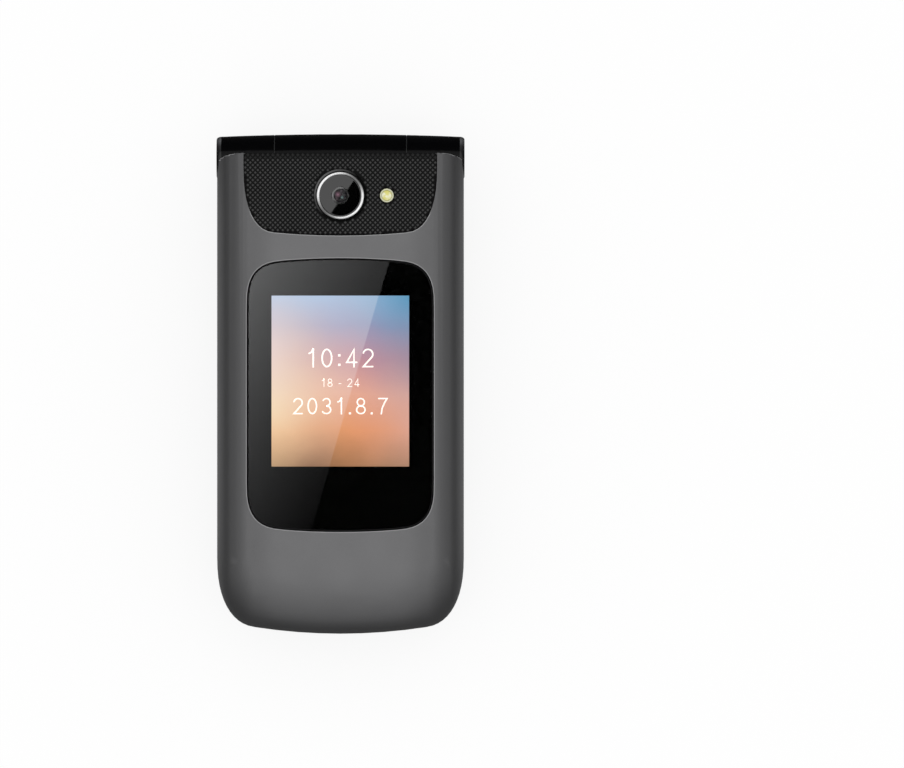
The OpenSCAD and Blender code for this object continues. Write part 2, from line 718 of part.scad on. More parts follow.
module lid_frame() color(frame_black) lid_side() difference() {
    union() {
        frame_body();
        barrel(-knuckle_hw, knuckle_hw);
        web(-knuckle_hw, knuckle_hw);
        for (place = [lid_head_screw, lid_tip_screw])
            on_both_sides(place) rod_z(boss_r, plate_d - touch, frame_t);
    }
    // Hollow of the middle knuckle: bush on -X, flat cable, head of the shaft on +X
    rod_x(bush_r + snug, -knuckle_hw - 1, 0);
    rod_x(flex_room_r, bush_grip - knuckle_hw, knuckle_hw - head_len - 1);
    flatted_rod(head_r + touch, head_flats + fit, knuckle_hw - head_len - touch, knuckle_hw + 1);
    // Pocket of the inner window, sight of the inner display and earpiece slot
    slab(inner_window_outline(touch), 0, inner_window_d + touch);
    translate([0, inner_picture_y, 0]) tile(inner_picture_w + 1.2, inner_picture_h + 1.2, 0.8, 0, far);
    translate([0, -earpiece_y, 0]) rotate(90) linear_extrude(far) stadium(earpiece_slot, earpiece_w - 1);
    for (place = [lid_head_screw, lid_tip_screw])
        on_both_sides(place) {
            rod_z(bumper_r + touch, 0, lid_screw_seat);
            rod_z(screw_r + run_gap, 0, far);
        }
}

// ---------- hinge ----------

// Round rod with two flats
module flatted_rod(r, flats, x0, x1) intersection() {
    rod_x(r, x0, x1);
    block([x0 - 1, x1 + 1], [-flats / 2, flats / 2], [-r, r]);
}

module hinge_case() color(steel) base_side() difference() {
    rod_x(case_r, case_x0, case_x1);
    rod_x(case_r - case_wall, case_x0 + case_wall, case_x1 - case_wall);
    rod_x(shaft_r + run_gap, case_x0 - 1, case_x1 + 1);
}

module hinge_shaft() color(steel) lid_side() {
    rod_x(shaft_r, knuckle_hw - 1, case_x1);
    flatted_rod(head_r, head_flats, knuckle_hw - head_len, knuckle_hw);
    // Friction disc that the spring presses on
    rod_x(case_r - case_wall - run_gap, disc_x0, disc_x1);
}

// Coil spring, its round wire swept along a helix between the friction disc and the case
module hinge_spring() color(steel) base_side() {
    sides = 6;
    per_turn = 14;
    coil_r = case_r - case_wall - spring_wire_r - fit;
    x0 = disc_x1 + spring_wire_r + fit;
    x1 = case_x1 - case_wall - spring_wire_r - fit;
    n = spring_turns * per_turn;
    loft([for (i = [0 : n]) let (a = 360 * i / per_turn, x = x0 + (x1 - x0) * i / n)
        [for (j = [0 : sides - 1]) let (b = -360 * j / sides, r = coil_r + spring_wire_r * cos(b))
            [x + spring_wire_r * sin(b), r * cos(a), r * sin(a)]]]);
}

module hinge_bush() color(steel) lid_side() difference() {
    rod_x(bush_r, -knuckle_hw - bush_reach, bush_grip - knuckle_hw - touch);
    rod_x(bush_r - 0.8, -far, 0);
}

// Flat cable, wound up inside the middle knuckle
function spiral(i, grow) =
    let (outer_r = flex_room_r - flex_t - fit,
         inner_r = 1.6,
         a = 360 * flex_turns * i / flex_steps,
         r = inner_r + (outer_r - inner_r) * i / flex_steps + grow)
    [r * cos(a), r * sin(a)];

module hinge_flex() color([0.75, 0.45, 0.15]) lid_side()
    translate([bush_grip - knuckle_hw + fit, 0, 0]) rotate([0, 90, 0])
        linear_extrude(knuckle_w - bush_grip - head_len - 1 - 2 * fit)
            polygon(concat([for (i = [0 : flex_steps]) spiral(i, 0)],
                           [for (i = [flex_steps : -1 : 0]) spiral(i, flex_t)]));

module hinge_caps() color(frame_black) base_side() for (s = [0, 1])
    mirror([s, 0, 0]) rod_x(end_disc_r, barrel_hw - end_disc_t, barrel_hw);

// ---------- keys ----------

module number_place(row, col)
    translate([(col - 1) * key_pitch_x, -key_row_1 - row * key_pitch_y, 0]) children();

module side_place(k) translate([k[1] * side_key_x, side_key_dy * (1 - 2 * k[2]) - nav_y, 0]) children();

// Outlines of all the openings in the key field
module key_openings() {
    translate([0, -nav_y]) circle(nav_r + key_gap);
    for (k = side_keys)
        side_place(k) rounded_rect(side_key_w + 2 * key_gap, side_key_h + 2 * key_gap, side_key_r + key_gap);
    for (row = [0 : 3])
        for (col = [0 : 2])
            number_place(row, col) rounded_rect(key_w + 2 * key_gap, key_h + 2 * key_gap, key_r + key_gap);
}

// Middle of every key, where its plunger meets a dome
module at_plungers() {
    translate([0, -nav_y, 0]) {
        children();
        for (a = [0 : 90 : 270]) rotate([0, 0, a]) translate([nav_mid_r, 0, 0]) children();
    }
    for (k = side_keys) side_place(k) children();
    for (row = [0 : 3])
        for (col = [0 : 2])
            number_place(row, col) children();
}

// Rectangular key: crowned cap, retaining flange and plunger
module rect_key(w, h, r) {
    intersection() {
        tile(w, h, r, key_top, flange_d);
        translate([0, 0, key_top + key_crown_r]) rotate([90, 0, 0])
            cylinder(r = key_crown_r, h = far, center = true, $fn = 360);
    }
    tile(w + 2 * key_flange, h + 2 * key_flange, r + key_flange, flange_top, flange_d);
    rod_z(plunger_r, flange_d - touch, plunger_d);
}

module number_key(row, col) color(key_black) base_side() number_place(row, col) rect_key(key_w, key_h, key_r);

module side_key(k) color(key_black) base_side() side_place(k) rect_key(side_key_w, side_key_h, side_key_r);

// Part of a ring between two radii and two depths
module ring(r0, r1, z0, z1) difference() {
    rod_z(r1, z0, z1);
    rod_z(r0, z0 - 1, z1 + 1);
}

// One quarter of the navigation ring, i quarter turns on from the right-hand one
module nav_key(i) color(key_black) base_side() translate([0, -nav_y, 0]) rotate([0, 0, 90 * i]) {
    apart = key_gap / sqrt(2);
    step_d = plate_d - key_travel - touch;
    intersection() {
        union() {
            ring(ok_r + key_gap, nav_r, key_top, step_d);
            ring(ok_r + key_flange + key_gap, nav_r, key_top, flange_d);
            ring(nav_r - 1, nav_r + key_flange, flange_top, flange_d);
        }
        linear_extrude(far) polygon([[apart, 0], [far, far - apart], [far, apart - far]]);
    }
    translate([nav_mid_r, 0, 0]) rod_z(plunger_r, flange_d - touch, plunger_d);
}

module ok_key() color(key_black) base_side() translate([0, -nav_y, 0]) {
    dish_r = 60;
    difference() {
        rod_z(ok_r, key_top, flange_d);
        translate([0, 0, key_top + 0.15 - dish_r]) sphere(dish_r, $fn = 160);
    }
    rod_z(ok_r + key_flange, flange_top, flange_d);
    rod_z(plunger_r, flange_d - touch, plunger_d);
}

module volume_key() color(frame_black) base_side() translate([0, -volume_y, volume_d]) {
    translate([volume_flange_x, 0, 0]) rotate([0, 90, 0])
        linear_extrude(hw - volume_flange_x) stadium(volume_w, volume_l);
    flange_hl = volume_l / 2 + volume_lip;
    flange_hw = volume_w / 2 + 0.2;
    back_x = volume_flange_x - volume_flange_t;
    block([back_x, volume_flange_x], [-flange_hl, flange_hl], [-flange_hw, flange_hw]);
    // Round rib that the key rocks on
    translate([back_x + volume_flange_t / 2, 0, 0]) rod_z(volume_flange_t, -flange_hw, flange_hw);
}

// ---------- inside the base ----------

module main_board() color(board_green) base_side() difference() {
    slab(plan(wall + 0.3, head = wall - trough_r - 0.1), board_top, board_d);
    for (place = [base_head_screw, base_tip_screw]) on_both_sides(place) rod_z(boss_r, 0, far);
}

module dome_sheet() color(steel) base_side() {
    difference() {
        block([-field_hw, field_hw], [-field_far, -field_near], [film_top, board_top]);
        on_both_sides(base_head_screw) rod_z(boss_r, 0, far);
    }
    at_plungers() rod_z(dome_r, dome_top, film_top);
}

module shield_cans() color(steel) base_side() {
    for (c = shield_can_places)
        translate([c[0], c[1], 0]) tile(c[2], c[3], can_corner, board_d, board_d + can_t);
}

module battery() color([0.18, 0.18, 0.2]) base_side() difference() {
    translate([0, battery_y, 0]) tile(battery_w, battery_l, 1.5, battery_top, battery_d);
    // Recessed contact pads at the end beside the contact block
    for (i = [-1 : 1]) translate([contact_pitch * i, battery_near, contact_d])
        cube([contact_w + 0.8, 2 * pad_sunk, contact_h], center = true);
}

// Block with three spring contacts that reach towards the battery
module battery_contacts() color(gold) base_side() {
    body_near = -bay_near - fit;
    body_far = body_near - contact_body + fit;
    finger_end = battery_near - pad_sunk + fit;
    block([-2 * contact_pitch, 2 * contact_pitch], [body_far, body_near], [bay_d, contact_d + contact_h / 2]);
    for (i = [-1 : 1])
        translate([contact_pitch * i - contact_w / 2, finger_end, contact_d - contact_h / 2 + 2 * fit])
            cube([contact_w, body_far + touch - finger_end, contact_h - 4 * fit]);
}

// Card tray: a low frame with a strap across it
module sim_holder() color(steel) base_side() translate([0, battery_y, 0]) {
    strap_hw = 2;
    strap_hl = (card_l + card_rim) / 2;
    difference() {
        tile(card_w + 2 * card_rim, card_l + 2 * card_rim, 1, bay_d, sim_d);
        tile(card_w, card_l, 0.5, bay_d + sheet_t, far);
    }
    block([-strap_hw, strap_hw], [-strap_hl, strap_hl], [sim_d - sheet_t, sim_d]);
}

module loudspeaker() color(key_black) base_side() translate([-speaker_x, -speaker_y, 0]) difference() {
    tile(speaker_w, speaker_l, 2, speaker_d - speaker_t, speaker_d);
    tile(speaker_w - 2, speaker_l - 2, 1.5, speaker_d - 0.3, far);
}

module microphone() color(steel) base_side() translate([0, mic_y, 0]) difference() {
    rod_z(mic_r, plate_d + fit, board_top);
    rod_z(mic_hole_r, 0, plate_d + 0.6);
}

module vibration_motor() color(steel) base_side() translate([0, motor_y, motor_d]) difference() {
    rod_x(motor_r, motor_x, motor_x + motor_l);
    rod_x(motor_shaft_r + run_gap, motor_x + motor_wall, far);
}

// Half-round weight on the motor's shaft
module vibration_weight() color(gold) base_side() translate([0, motor_y, motor_d]) {
    weight_x = motor_x + motor_l + 0.4;
    weight_l = 3;
    rod_x(motor_shaft_r, motor_x + motor_wall + fit, weight_x + weight_l);
    difference() {
        rod_x(motor_r - 0.3, weight_x, weight_x + weight_l);
        block([0, far], [-far, far], [motor_shaft_r + 0.1, far]);
    }
}

module usb_port() color(steel) base_side() translate([usb_mouth, -usb_y, usb_d]) difference() {
    depth = 4.8;
    half_w = usb_w / 2;
    half_h = usb_h / 2;
    tongue_hw = half_w - 1.2;
    tongue_ht = 0.35;
    block([-depth, 0], [-half_w - usb_wall, half_w + usb_wall], [-half_h - usb_wall, half_h + usb_wall]);
    difference() {
        block([usb_wall - depth, 1], [-half_w, half_w], [-half_h, half_h]);
        block([-depth, -1], [-tongue_hw, tongue_hw], [-tongue_ht, tongue_ht]);
    }
}

module headset_jack() color(frame_black) base_side() translate([0, -jack_y, jack_d]) difference() {
    union() {
        block([jack_mouth - jack_depth - 1, jack_body_x], [-jack_half, jack_half], [-jack_half, jack_half]);
        rod_x(jack_nose_r, jack_body_x - 1, jack_mouth);
    }
    rod_x(jack_r, jack_mouth - jack_depth, far);
}

// Antenna carrier with a raised metal track
module antenna() color([0.2, 0.2, 0.22]) base_side() translate([-antenna_hw, motor_y, 0]) {
    carrier_d = bay_top + antenna_t;
    track_hw = antenna_hw - antenna_edge;
    track_hl = antenna_hl - antenna_edge;
    inner_hw = track_hw - antenna_track;
    inner_hl = track_hl - antenna_track;
    block([-antenna_hw, antenna_hw], [-antenna_hl, antenna_hl], [bay_top, carrier_d]);
    difference() {
        block([-track_hw, track_hw], [-track_hl, track_hl], [carrier_d, carrier_d + fit]);
        block([-inner_hw, inner_hw], [-inner_hl, inner_hl], [bay_top, far]);
    }
}

module base_screws() color(steel) base_side() for (place = [base_head_screw, base_tip_screw])
    on_both_sides(place) {
        rod_z(screw_r, screw_tip_d, screw_seat + touch);
        rod_z(screw_head_r, screw_seat, screw_seat + screw_head_t);
    }

module battery_cover() color(housing_grey) base_side() difference() {
    translate([0, cover_y, 0]) tile(cover_w, cover_l, cover_r, cover_d, base_t);
    // Scoop for a fingernail
    scoop_r = 6;
    scoop_sunk = 0.5;
    translate([0, 2.6 - cover_near - cover_l, base_t + scoop_r - scoop_sunk])
        rod_x(scoop_r, -scoop_r, scoop_r);
}

// ---------- lid ----------

module camera_panel() color(frame_black) lid_side() difference() {
    slab(panel_outline(0, lid_head - fit), panel_seat + touch, panel_d);
    translate([0, -camera_y, 0]) rod_z(ring_r + touch, 0, far);
    translate([flash_x, -camera_y, 0]) rod_z(flash_r + touch, 0, far);
}

module camera_ring() color(steel) lid_side() translate([0, -camera_y, 0])
    ring(ring_r - ring_w, ring_r, panel_seat, lid_t - 0.02);

module camera_window() color(glass_black) lid_side() translate([0, -camera_y, 0])
    rod_z(ring_r - ring_w - snug, panel_seat, panel_seat + camera_glass_t);

// Square module on the lid's board, with its round lens barrel
module camera_module() color(frame_black) lid_side() translate([0, -camera_y, 0]) {
    lens_r = 1.6;
    barrel_top = panel_seat - fit;
    tile(camera_w, camera_w, 0.6, lid_board_d, panel_ledge - 0.2);
    difference() {
        rod_z(lens_r + 1.2, lid_board_d, barrel_top);
        translate([0, 0, barrel_top]) sphere(lens_r);
    }
}

module flash_lens() color([0.95, 0.9, 0.6]) lid_side() translate([flash_x, -camera_y, 0])
    rod_z(flash_r, panel_ledge, panel_d + touch);

module outer_window() color(glass_black) lid_side() slab(window_outline(0), lid_t - window_t, lid_t);

// Display module with its metal tray round the picture
module display(w, h, z0, z1) tile(w + 2 * display_border, h + 2 * display_border, 0.6, z0, z1);

module outer_display() color([0.1, 0.12, 0.16]) lid_side() translate([0, picture_y, 0])
    display(picture_w, picture_h, outer_display_d - outer_display_t, outer_display_d);

module inner_display() color([0.1, 0.12, 0.16]) lid_side() translate([0, inner_picture_y, 0])
    display(inner_picture_w, inner_picture_h, inner_display_top, inner_display_d);

module inner_window() color(glass_black) lid_side() slab(inner_window_outline(0), face_d, inner_window_d);

module lid_board() color(board_green) lid_side()
    slab(outline(lid_board_hw, -lid_board_far, 1.4 - trough_r, [2, 2], [2, 2], 0, 0, 2, 4, 4, 2),
         lid_board_top, lid_board_d);

module earpiece() color(steel) lid_side() translate([0, -earpiece_y, 0])
    tile(earpiece_w, earpiece_l, 1.2, plate_d + touch, lid_board_top - fit);

module lid_bumpers() color([0.12, 0.12, 0.12]) lid_side() for (place = [lid_head_screw, lid_tip_screw])
    on_both_sides(place) rod_z(bumper_r, touch - face_d, face_d + bumper_t - touch);

module lid_screws() color(steel) lid_side() for (place = [lid_head_screw, lid_tip_screw])
    on_both_sides(place) {
        rod_z(screw_r, lid_screw_seat - touch, lid_screw_end);
        rod_z(screw_head_r, lid_screw_seat - screw_head_t, lid_screw_seat);
    }

// ---------- output ----------

base_housing();
base_frame();
battery_cover();
battery();
main_board();
shield_cans();
battery_contacts();
sim_holder();
loudspeaker();
microphone();
vibration_motor();
vibration_weight();
usb_port();
headset_jack();
antenna();
dome_sheet();
base_screws();
volume_key();
hinge_caps();
hinge_case();
hinge_shaft();
hinge_spring();
hinge_bush();
hinge_flex();
lid_housing();
lid_frame();
camera_panel();
camera_ring();
camera_window();
camera_module();
flash_lens();
outer_window();
outer_display();
inner_window();
inner_display();
lid_board();
earpiece();
lid_bumpers();
lid_screws();
ok_key();
for (i = [0 : 3]) nav_key(i);
for (k = side_keys) side_key(k);
for (row = [0 : 3])
    for (col = [0 : 2])
        number_key(row, col);
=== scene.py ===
import math

import bmesh
import bpy
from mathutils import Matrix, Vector


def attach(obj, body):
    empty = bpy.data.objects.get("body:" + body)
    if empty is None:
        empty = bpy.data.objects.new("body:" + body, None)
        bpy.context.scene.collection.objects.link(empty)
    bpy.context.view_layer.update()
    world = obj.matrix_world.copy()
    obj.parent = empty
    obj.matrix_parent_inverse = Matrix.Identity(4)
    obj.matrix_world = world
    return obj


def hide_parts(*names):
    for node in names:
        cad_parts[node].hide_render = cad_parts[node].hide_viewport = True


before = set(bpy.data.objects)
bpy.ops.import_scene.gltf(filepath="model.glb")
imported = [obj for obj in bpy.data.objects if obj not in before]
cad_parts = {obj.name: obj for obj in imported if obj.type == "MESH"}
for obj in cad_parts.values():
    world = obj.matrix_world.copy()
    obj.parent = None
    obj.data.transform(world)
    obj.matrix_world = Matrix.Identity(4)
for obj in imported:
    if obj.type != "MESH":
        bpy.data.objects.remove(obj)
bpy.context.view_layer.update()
scene = bpy.context.scene

# ---------- frame and sizes, in millimetres ----------
MM = 0.001
HINGE_Y = 47.525        # the hinge axis in the row frame
PART_Z = 11.6           # the plane between the halves
LID_T, BASE_T = 9.0, 11.6
WINDOW_BOW = 147.0      # radius of the bowed window and panel edges
WINDOW_NEAR, WINDOW_FAR, WINDOW_HALF_W = -21.2, -78.6, 19.6
FACE_D = 0.2            # inner faces lie this deep under the parting plane


def lid_point(x, y, d):
    return Vector((x * MM, (HINGE_Y + y) * MM, (PART_Z + d) * MM))


def base_point(x, y, d):
    return Vector((x * MM, (HINGE_Y + y) * MM, (PART_Z - d) * MM))


# ---------- camera: straight above the lid's face ----------
PHOTO_W, PHOTO_H = 904, 768
PHOTO_X, PHOTO_HINGE = 340.3, 157.5     # the phone's middle line and its hinge axis, in pixels
PIXEL = 0.21            # millimetres that a pixel spans on the lid's face
LENS, SENSOR = 600.0, 36.0
FACE_Z = PART_Z + LID_T
CAM_X = (PHOTO_W / 2 - PHOTO_X) * PIXEL
CAM_Y = HINGE_Y - (PHOTO_H / 2 - PHOTO_HINGE) * PIXEL
CAM_Z = FACE_Z + PHOTO_W * PIXEL * LENS / SENSOR
cam_data = bpy.data.cameras.new("photo_camera")
cam_data.lens = LENS
cam_data.sensor_width = SENSOR
cam_data.clip_start = 0.05
cam_data.clip_end = 20
cam = bpy.data.objects.new("photo_camera", cam_data)
cam.location = (CAM_X * MM, CAM_Y * MM, CAM_Z * MM)
scene.collection.objects.link(cam)
scene.camera = cam
scene.view_settings.view_transform = "Standard"


# ---------- materials ----------
def srgb(r, g=None, b=None):
    """Linear colour of an 8-bit display colour; one number is a grey."""
    g, b = (r if g is None else g), (r if b is None else b)
    return [(v / 255 / 12.92 if v <= 10 else ((v / 255 + 0.055) / 1.055) ** 2.4) for v in (r, g, b)] + [1.0]


def scaled(c, k):
    return [min(1.0, v * k) for v in c[:3]] + [1.0]


class Nodes:
    """Short names for making a material's nodes."""

    def __init__(self, material):
        self.tree = material.node_tree
        self.shader = self.tree.nodes.get("Principled BSDF")

    def add(self, kind, **values):
        n = self.tree.nodes.new("ShaderNode" + kind)
        for k, v in values.items():
            setattr(n, k, v)
        return n

    def link(self, a, b):
        self.tree.links.new(a, b)

    def noise(self, scale, detail=3.0, rough=0.5):
        n = self.add("TexNoise")
        n.inputs["Scale"].default_value = scale
        n.inputs["Detail"].default_value = detail
        n.inputs["Roughness"].default_value = rough
        self.link(self.coords().outputs["Object"], n.inputs["Vector"])
        return n.outputs["Fac"]

    def coords(self):
        for n in self.tree.nodes:
            if n.bl_idname == "ShaderNodeTexCoord":
                return n
        return self.add("TexCoord")

    def range(self, value, lo, hi, to_lo, to_hi):
        n = self.add("MapRange")
        self.link(value, n.inputs["Value"])
        for i, v in zip((1, 2, 3, 4), (lo, hi, to_lo, to_hi)):
            n.inputs[i].default_value = v
        return n.outputs[0]

    def mix(self, fac, a, b):
        n = self.add("Mix", data_type="RGBA")
        for v, s in ((fac, n.inputs[0]), (a, n.inputs[6]), (b, n.inputs[7])):
            if isinstance(v, bpy.types.NodeSocket):
                self.link(v, s)
            else:
                s.default_value = v
        return n.outputs[2]

    def math(self, op, a, b=0.0):
        n = self.add("Math", operation=op)
        for v, s in ((a, n.inputs[0]), (b, n.inputs[1])):
            if isinstance(v, bpy.types.NodeSocket):
                self.link(v, s)
            else:
                s.default_value = v
        return n.outputs[0]

    def ramp(self, value, stops):
        n = self.add("ValToRGB")
        self.link(value, n.inputs[0])
        e = n.color_ramp.elements
        while len(e) < len(stops):
            e.new(0.5)
        for i, (p, c) in enumerate(stops):
            e[i].position, e[i].color = p, c
        return n.outputs[0]

    def axis(self, which):
        n = self.add("SeparateXYZ")
        self.link(self.coords().outputs["Object"], n.inputs[0])
        return n.outputs["XYZ".index(which)]

    def squares(self, a, b):
        return self.math("ADD", self.math("MULTIPLY", a, a), self.math("MULTIPLY", b, b))

    def paint(self, color):
        self.link(color, self.shader.inputs["Base Color"])

    def show(self, output):
        """Puts a shader in the Principled one's place."""
        self.tree.nodes.remove(self.shader)
        self.link(output, self.tree.nodes["Material Output"].inputs[0])


def new_material(name):
    m = bpy.data.materials.new(name)
    m.use_nodes = True
    return m, Nodes(m)


def finish(name, color, rough, metallic=0.0, tint=0.06, tint_scale=120.0, grain=0.0, grain_scale=7000.0,
           smudge=0.04, bump=0.0, specular=0.5, coat=0.0, coat_rough=0.1, transmission=0.0, ior=1.5,
           emission=None):
    """Principled material whose colour, roughness and relief vary over the surface."""
    m, n = new_material(name)
    shader = n.shader
    big, fine = n.noise(tint_scale), n.noise(grain_scale, 2.0)
    paint = n.mix(big, scaled(color, 1 - tint), scaled(color, 1 + tint))
    if grain:
        spark = n.range(fine, 0.35, 0.65, 0.0, 1.0)
        paint = n.mix(spark, n.mix(big, scaled(color, 1 - tint - grain), scaled(color, 1 + tint - grain)),
                      n.mix(big, scaled(color, 1 - tint + grain), scaled(color, 1 + tint + grain)))
    n.paint(paint)
    n.link(n.range(n.noise(tint_scale * 2.3, 4.0, 0.6), 0.3, 0.7, max(0.0, rough - smudge), rough + smudge),
           shader.inputs["Roughness"])
    shader.inputs["Metallic"].default_value = metallic
    shader.inputs["Specular IOR Level"].default_value = specular
    shader.inputs["Coat Weight"].default_value = coat
    shader.inputs["Coat Roughness"].default_value = coat_rough
    shader.inputs["Transmission Weight"].default_value = transmission
    shader.inputs["IOR"].default_value = ior
    if bump:
        b = n.add("Bump")
        b.inputs["Distance"].default_value = bump * MM
        n.link(fine, b.inputs["Height"])
        n.link(b.outputs[0], shader.inputs["Normal"])
    if emission:
        n.link(paint, shader.inputs["Emission Color"])
        shader.inputs["Emission Strength"].default_value = emission
    return m


def crown(m, inner, outer, rise):
    """Lets flat painted faces seem gently crowned: the relief falls off between two distances from the middle."""
    n = Nodes(m)
    t = n.range(n.math("ABSOLUTE", n.axis("X")), inner * MM, outer * MM, 0.0, 1.0)
    fall = n.math("MULTIPLY", n.math("POWER", t, 3.0), n.math("SUBTRACT", 1 / 3, n.math("MULTIPLY", t, 0.25)))
    b = n.add("Bump")
    b.inputs["Distance"].default_value = 1.0
    n.link(n.math("MULTIPLY", fall, -rise * MM), b.inputs["Height"])
    n.link(b.outputs[0], n.shader.inputs["Normal"])
    n.link(b.outputs[0], n.shader.inputs["Coat Normal"])


PAINT = finish("satin_grey_paint", srgb(110, 110, 111), 0.42, metallic=0.85, tint=0.03, tint_scale=70,
               grain=0.04, grain_scale=9000, smudge=0.02, coat=0.1, coat_rough=0.35)
crown(PAINT, 10.5, 23.0, 20.0)
# Pale colour for the bevels of the lid's rims: a painted highlight along these edges
EDGE_HIGHLIGHT = finish("painted_edge_highlight", srgb(150, 150, 151), 0.5, tint=0.1, tint_scale=400, smudge=0.05)
FRAME = finish("satin_black_plastic", srgb(34, 34, 35), 0.38, tint=0.08, smudge=0.05, bump=0.004)
GLOSS = finish("gloss_black_plastic", srgb(4, 4, 5), 0.1, tint=0.1, smudge=0.03, specular=0.4)
BARREL = finish("barrel_black", srgb(5, 5, 6), 0.16, tint=0.1, smudge=0.04, specular=0.12)
PANEL = finish("panel_black", srgb(17, 17, 17), 0.5, tint=0.12, smudge=0.06, bump=0.004, specular=0.03)
# Nub tops and nub sides are lit and shaded copies of one black: a painted highlight on the tops, painted shade on the
# sides
NUB_LIT_TOP = finish("panel_nub_painted_lit_top", srgb(62, 62, 62), 0.5, tint=0.15, smudge=0.06, specular=0.1)
NUB_SHADED_SIDE = finish("panel_nub_painted_shade", srgb(36, 36, 36), 0.5, tint=0.15, smudge=0.06, specular=0.1)
SEAM = finish("seam_ring", srgb(42, 42, 43), 0.5, tint=0.08, smudge=0.05, specular=0.3)
STEEL = finish("drawn_steel", srgb(175, 176, 180), 0.3, metallic=1.0, tint=0.05, smudge=0.08, bump=0.003)
DARK_STEEL = finish("blackened_steel", srgb(70, 70, 74), 0.35, metallic=1.0, tint=0.05, smudge=0.08)
GOLD = finish("gold_plating", srgb(222, 176, 92), 0.25, metallic=1.0, tint=0.05, smudge=0.06)
COPPER = finish("copper_film", srgb(196, 120, 62), 0.4, metallic=0.6, tint=0.08, smudge=0.06)
GLASS = finish("clear_glass", srgb(252, 253, 255), 0.01, tint=0.002, smudge=0.008, transmission=1.0, ior=1.5)
PRINT = finish("black_print", srgb(3, 3, 3), 0.5, tint=0.2, smudge=0.05, specular=0.02)
KEY = finish("key_black", srgb(38, 38, 39), 0.42, tint=0.08, smudge=0.05, bump=0.006, grain=0.05)
LEGEND = finish("legend_white", srgb(222, 224, 226), 0.5, tint=0.03, smudge=0.05)
GREEN = finish("legend_green", srgb(70, 190, 90), 0.5, tint=0.05, smudge=0.05)
RED = finish("legend_red", srgb(214, 62, 56), 0.5, tint=0.05, smudge=0.05)
# Near-black, weakly glossy colour for the windows' bevelled glass edges: painted shade for the dark outline round
# each window
GLASS_EDGE_SHADE = finish("glass_edge_painted_shade", srgb(10, 10, 11), 0.3, tint=0.1, smudge=0.05, specular=0.15)
RUBBER = finish("soft_rubber", srgb(36, 36, 37), 0.7, tint=0.1, smudge=0.06, bump=0.01)
BOARD = finish("circuit_board", srgb(28, 92, 60), 0.4, tint=0.2, tint_scale=500, smudge=0.06)
WRAP = finish("battery_wrap", srgb(60, 62, 66), 0.45, tint=0.08, smudge=0.06, bump=0.004)
MOULDED = finish("moulded_black", srgb(44, 44, 46), 0.5, tint=0.08, smudge=0.05, bump=0.006)
TRAY = finish("display_tray", srgb(120, 122, 126), 0.35, metallic=0.8, tint=0.06, smudge=0.06)


# ---------- mesh helpers ----------
def mesh_of(name, verts, faces):
    mesh = bpy.data.meshes.new(name)
    mesh.from_pydata(verts, [], faces)
    return mesh


def mesh_from(bm, name):
    mesh = bpy.data.meshes.new(name)
    bm.to_mesh(mesh)
    bm.free()
    return mesh


def shell_of(name, verts, faces):
    """A mesh whose faces are turned outward."""
    mesh = mesh_of(name, verts, faces)
    bm = bmesh.new()
    bm.from_mesh(mesh)
    bmesh.ops.recalc_face_normals(bm, faces=bm.faces)
    bm.to_mesh(mesh)
    bm.free()
    return mesh


def new_object(name, mesh, body, mats, replaces=()):
    ob = bpy.data.objects.new(name, mesh)
    scene.collection.objects.link(ob)
    if not mesh.materials:
        for m in mats if isinstance(mats, (list, tuple)) else [mats]:
            mesh.materials.append(m)
    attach(ob, body)
    if replaces:
        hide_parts(*replaces)
    return ob


def settle(ob, angle=38.0, weighted=True):
    """Applies the modifiers, then shades smooth up to the angle, with flat faces kept flat."""
    dg = bpy.context.evaluated_depsgraph_get()
    mesh = bpy.data.meshes.new_from_object(ob.evaluated_get(dg))
    ob.modifiers.clear()
    ob.data = mesh
    mesh.polygons.foreach_set("use_smooth", [True] * len(mesh.polygons))
    mesh.set_sharp_from_angle(angle=math.radians(angle))
    if weighted:
        w = ob.modifiers.new("flat_faces", "WEIGHTED_NORMAL")
        w.keep_sharp = True
        w.weight = 60
    return ob


def bow_far_edge(bm):
    """Gives the window's straight edge on the hinge side, where the mesh has one, the bow of the other edges."""
    shortest, cuts = 15 * MM, 11

    def on_edge(v):
        x, y, z = v.co / MM
        return abs(x) < 12.5 and -22.0 < y - HINGE_Y < WINDOW_NEAR and z > PART_Z + 8.1

    long_edges = [e for e in bm.edges if e.calc_length() > shortest and all(on_edge(v) for v in e.verts)]
    if not long_edges:
        return
    half = long_edges[0].calc_length() / 2
    made = bmesh.ops.subdivide_edges(bm, edges=long_edges, cuts=cuts)
    for v in {v for v in made["geom_inner"] if isinstance(v, bmesh.types.BMVert)}:
        v.co.y += (half ** 2 - v.co.x ** 2) / (2 * WINDOW_BOW * MM)


def welded(node):
    """The CAD node's own shape as a clean mesh, its flat faces joined again."""
    weld_dist, flat_angle = 3e-6, 0.6
    bm = bmesh.new()
    bm.from_mesh(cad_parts[node].data)
    bmesh.ops.remove_doubles(bm, verts=bm.verts, dist=weld_dist)
    bmesh.ops.dissolve_limit(bm, angle_limit=math.radians(flat_angle), verts=bm.verts, edges=bm.edges)
    bow_far_edge(bm)
    bm.verts.index_update()
    mesh = mesh_of(node + "_skin", [v.co.copy() for v in bm.verts], [[v.index for v in f.verts] for f in bm.faces])
    bm.free()
    return mesh


def mark_edges(mesh, angle, pick):
    """Bevel weight for the edges over the angle that face up: what pick() says for their middle in mm."""
    bm = bmesh.new()
    bm.from_mesh(mesh)
    weight = bm.edges.layers.float.new("bevel_weight_edge")
    for e in bm.edges:
        sharp = len(e.link_faces) == 2 and e.calc_face_angle() > angle
        upper = max((f.normal.z for f in e.link_faces), default=0.0) > 0.2
        e[weight] = float(sharp and upper and pick((e.verts[0].co + e.verts[1].co) / 2 / MM))
    bm.to_mesh(mesh)
    bm.free()


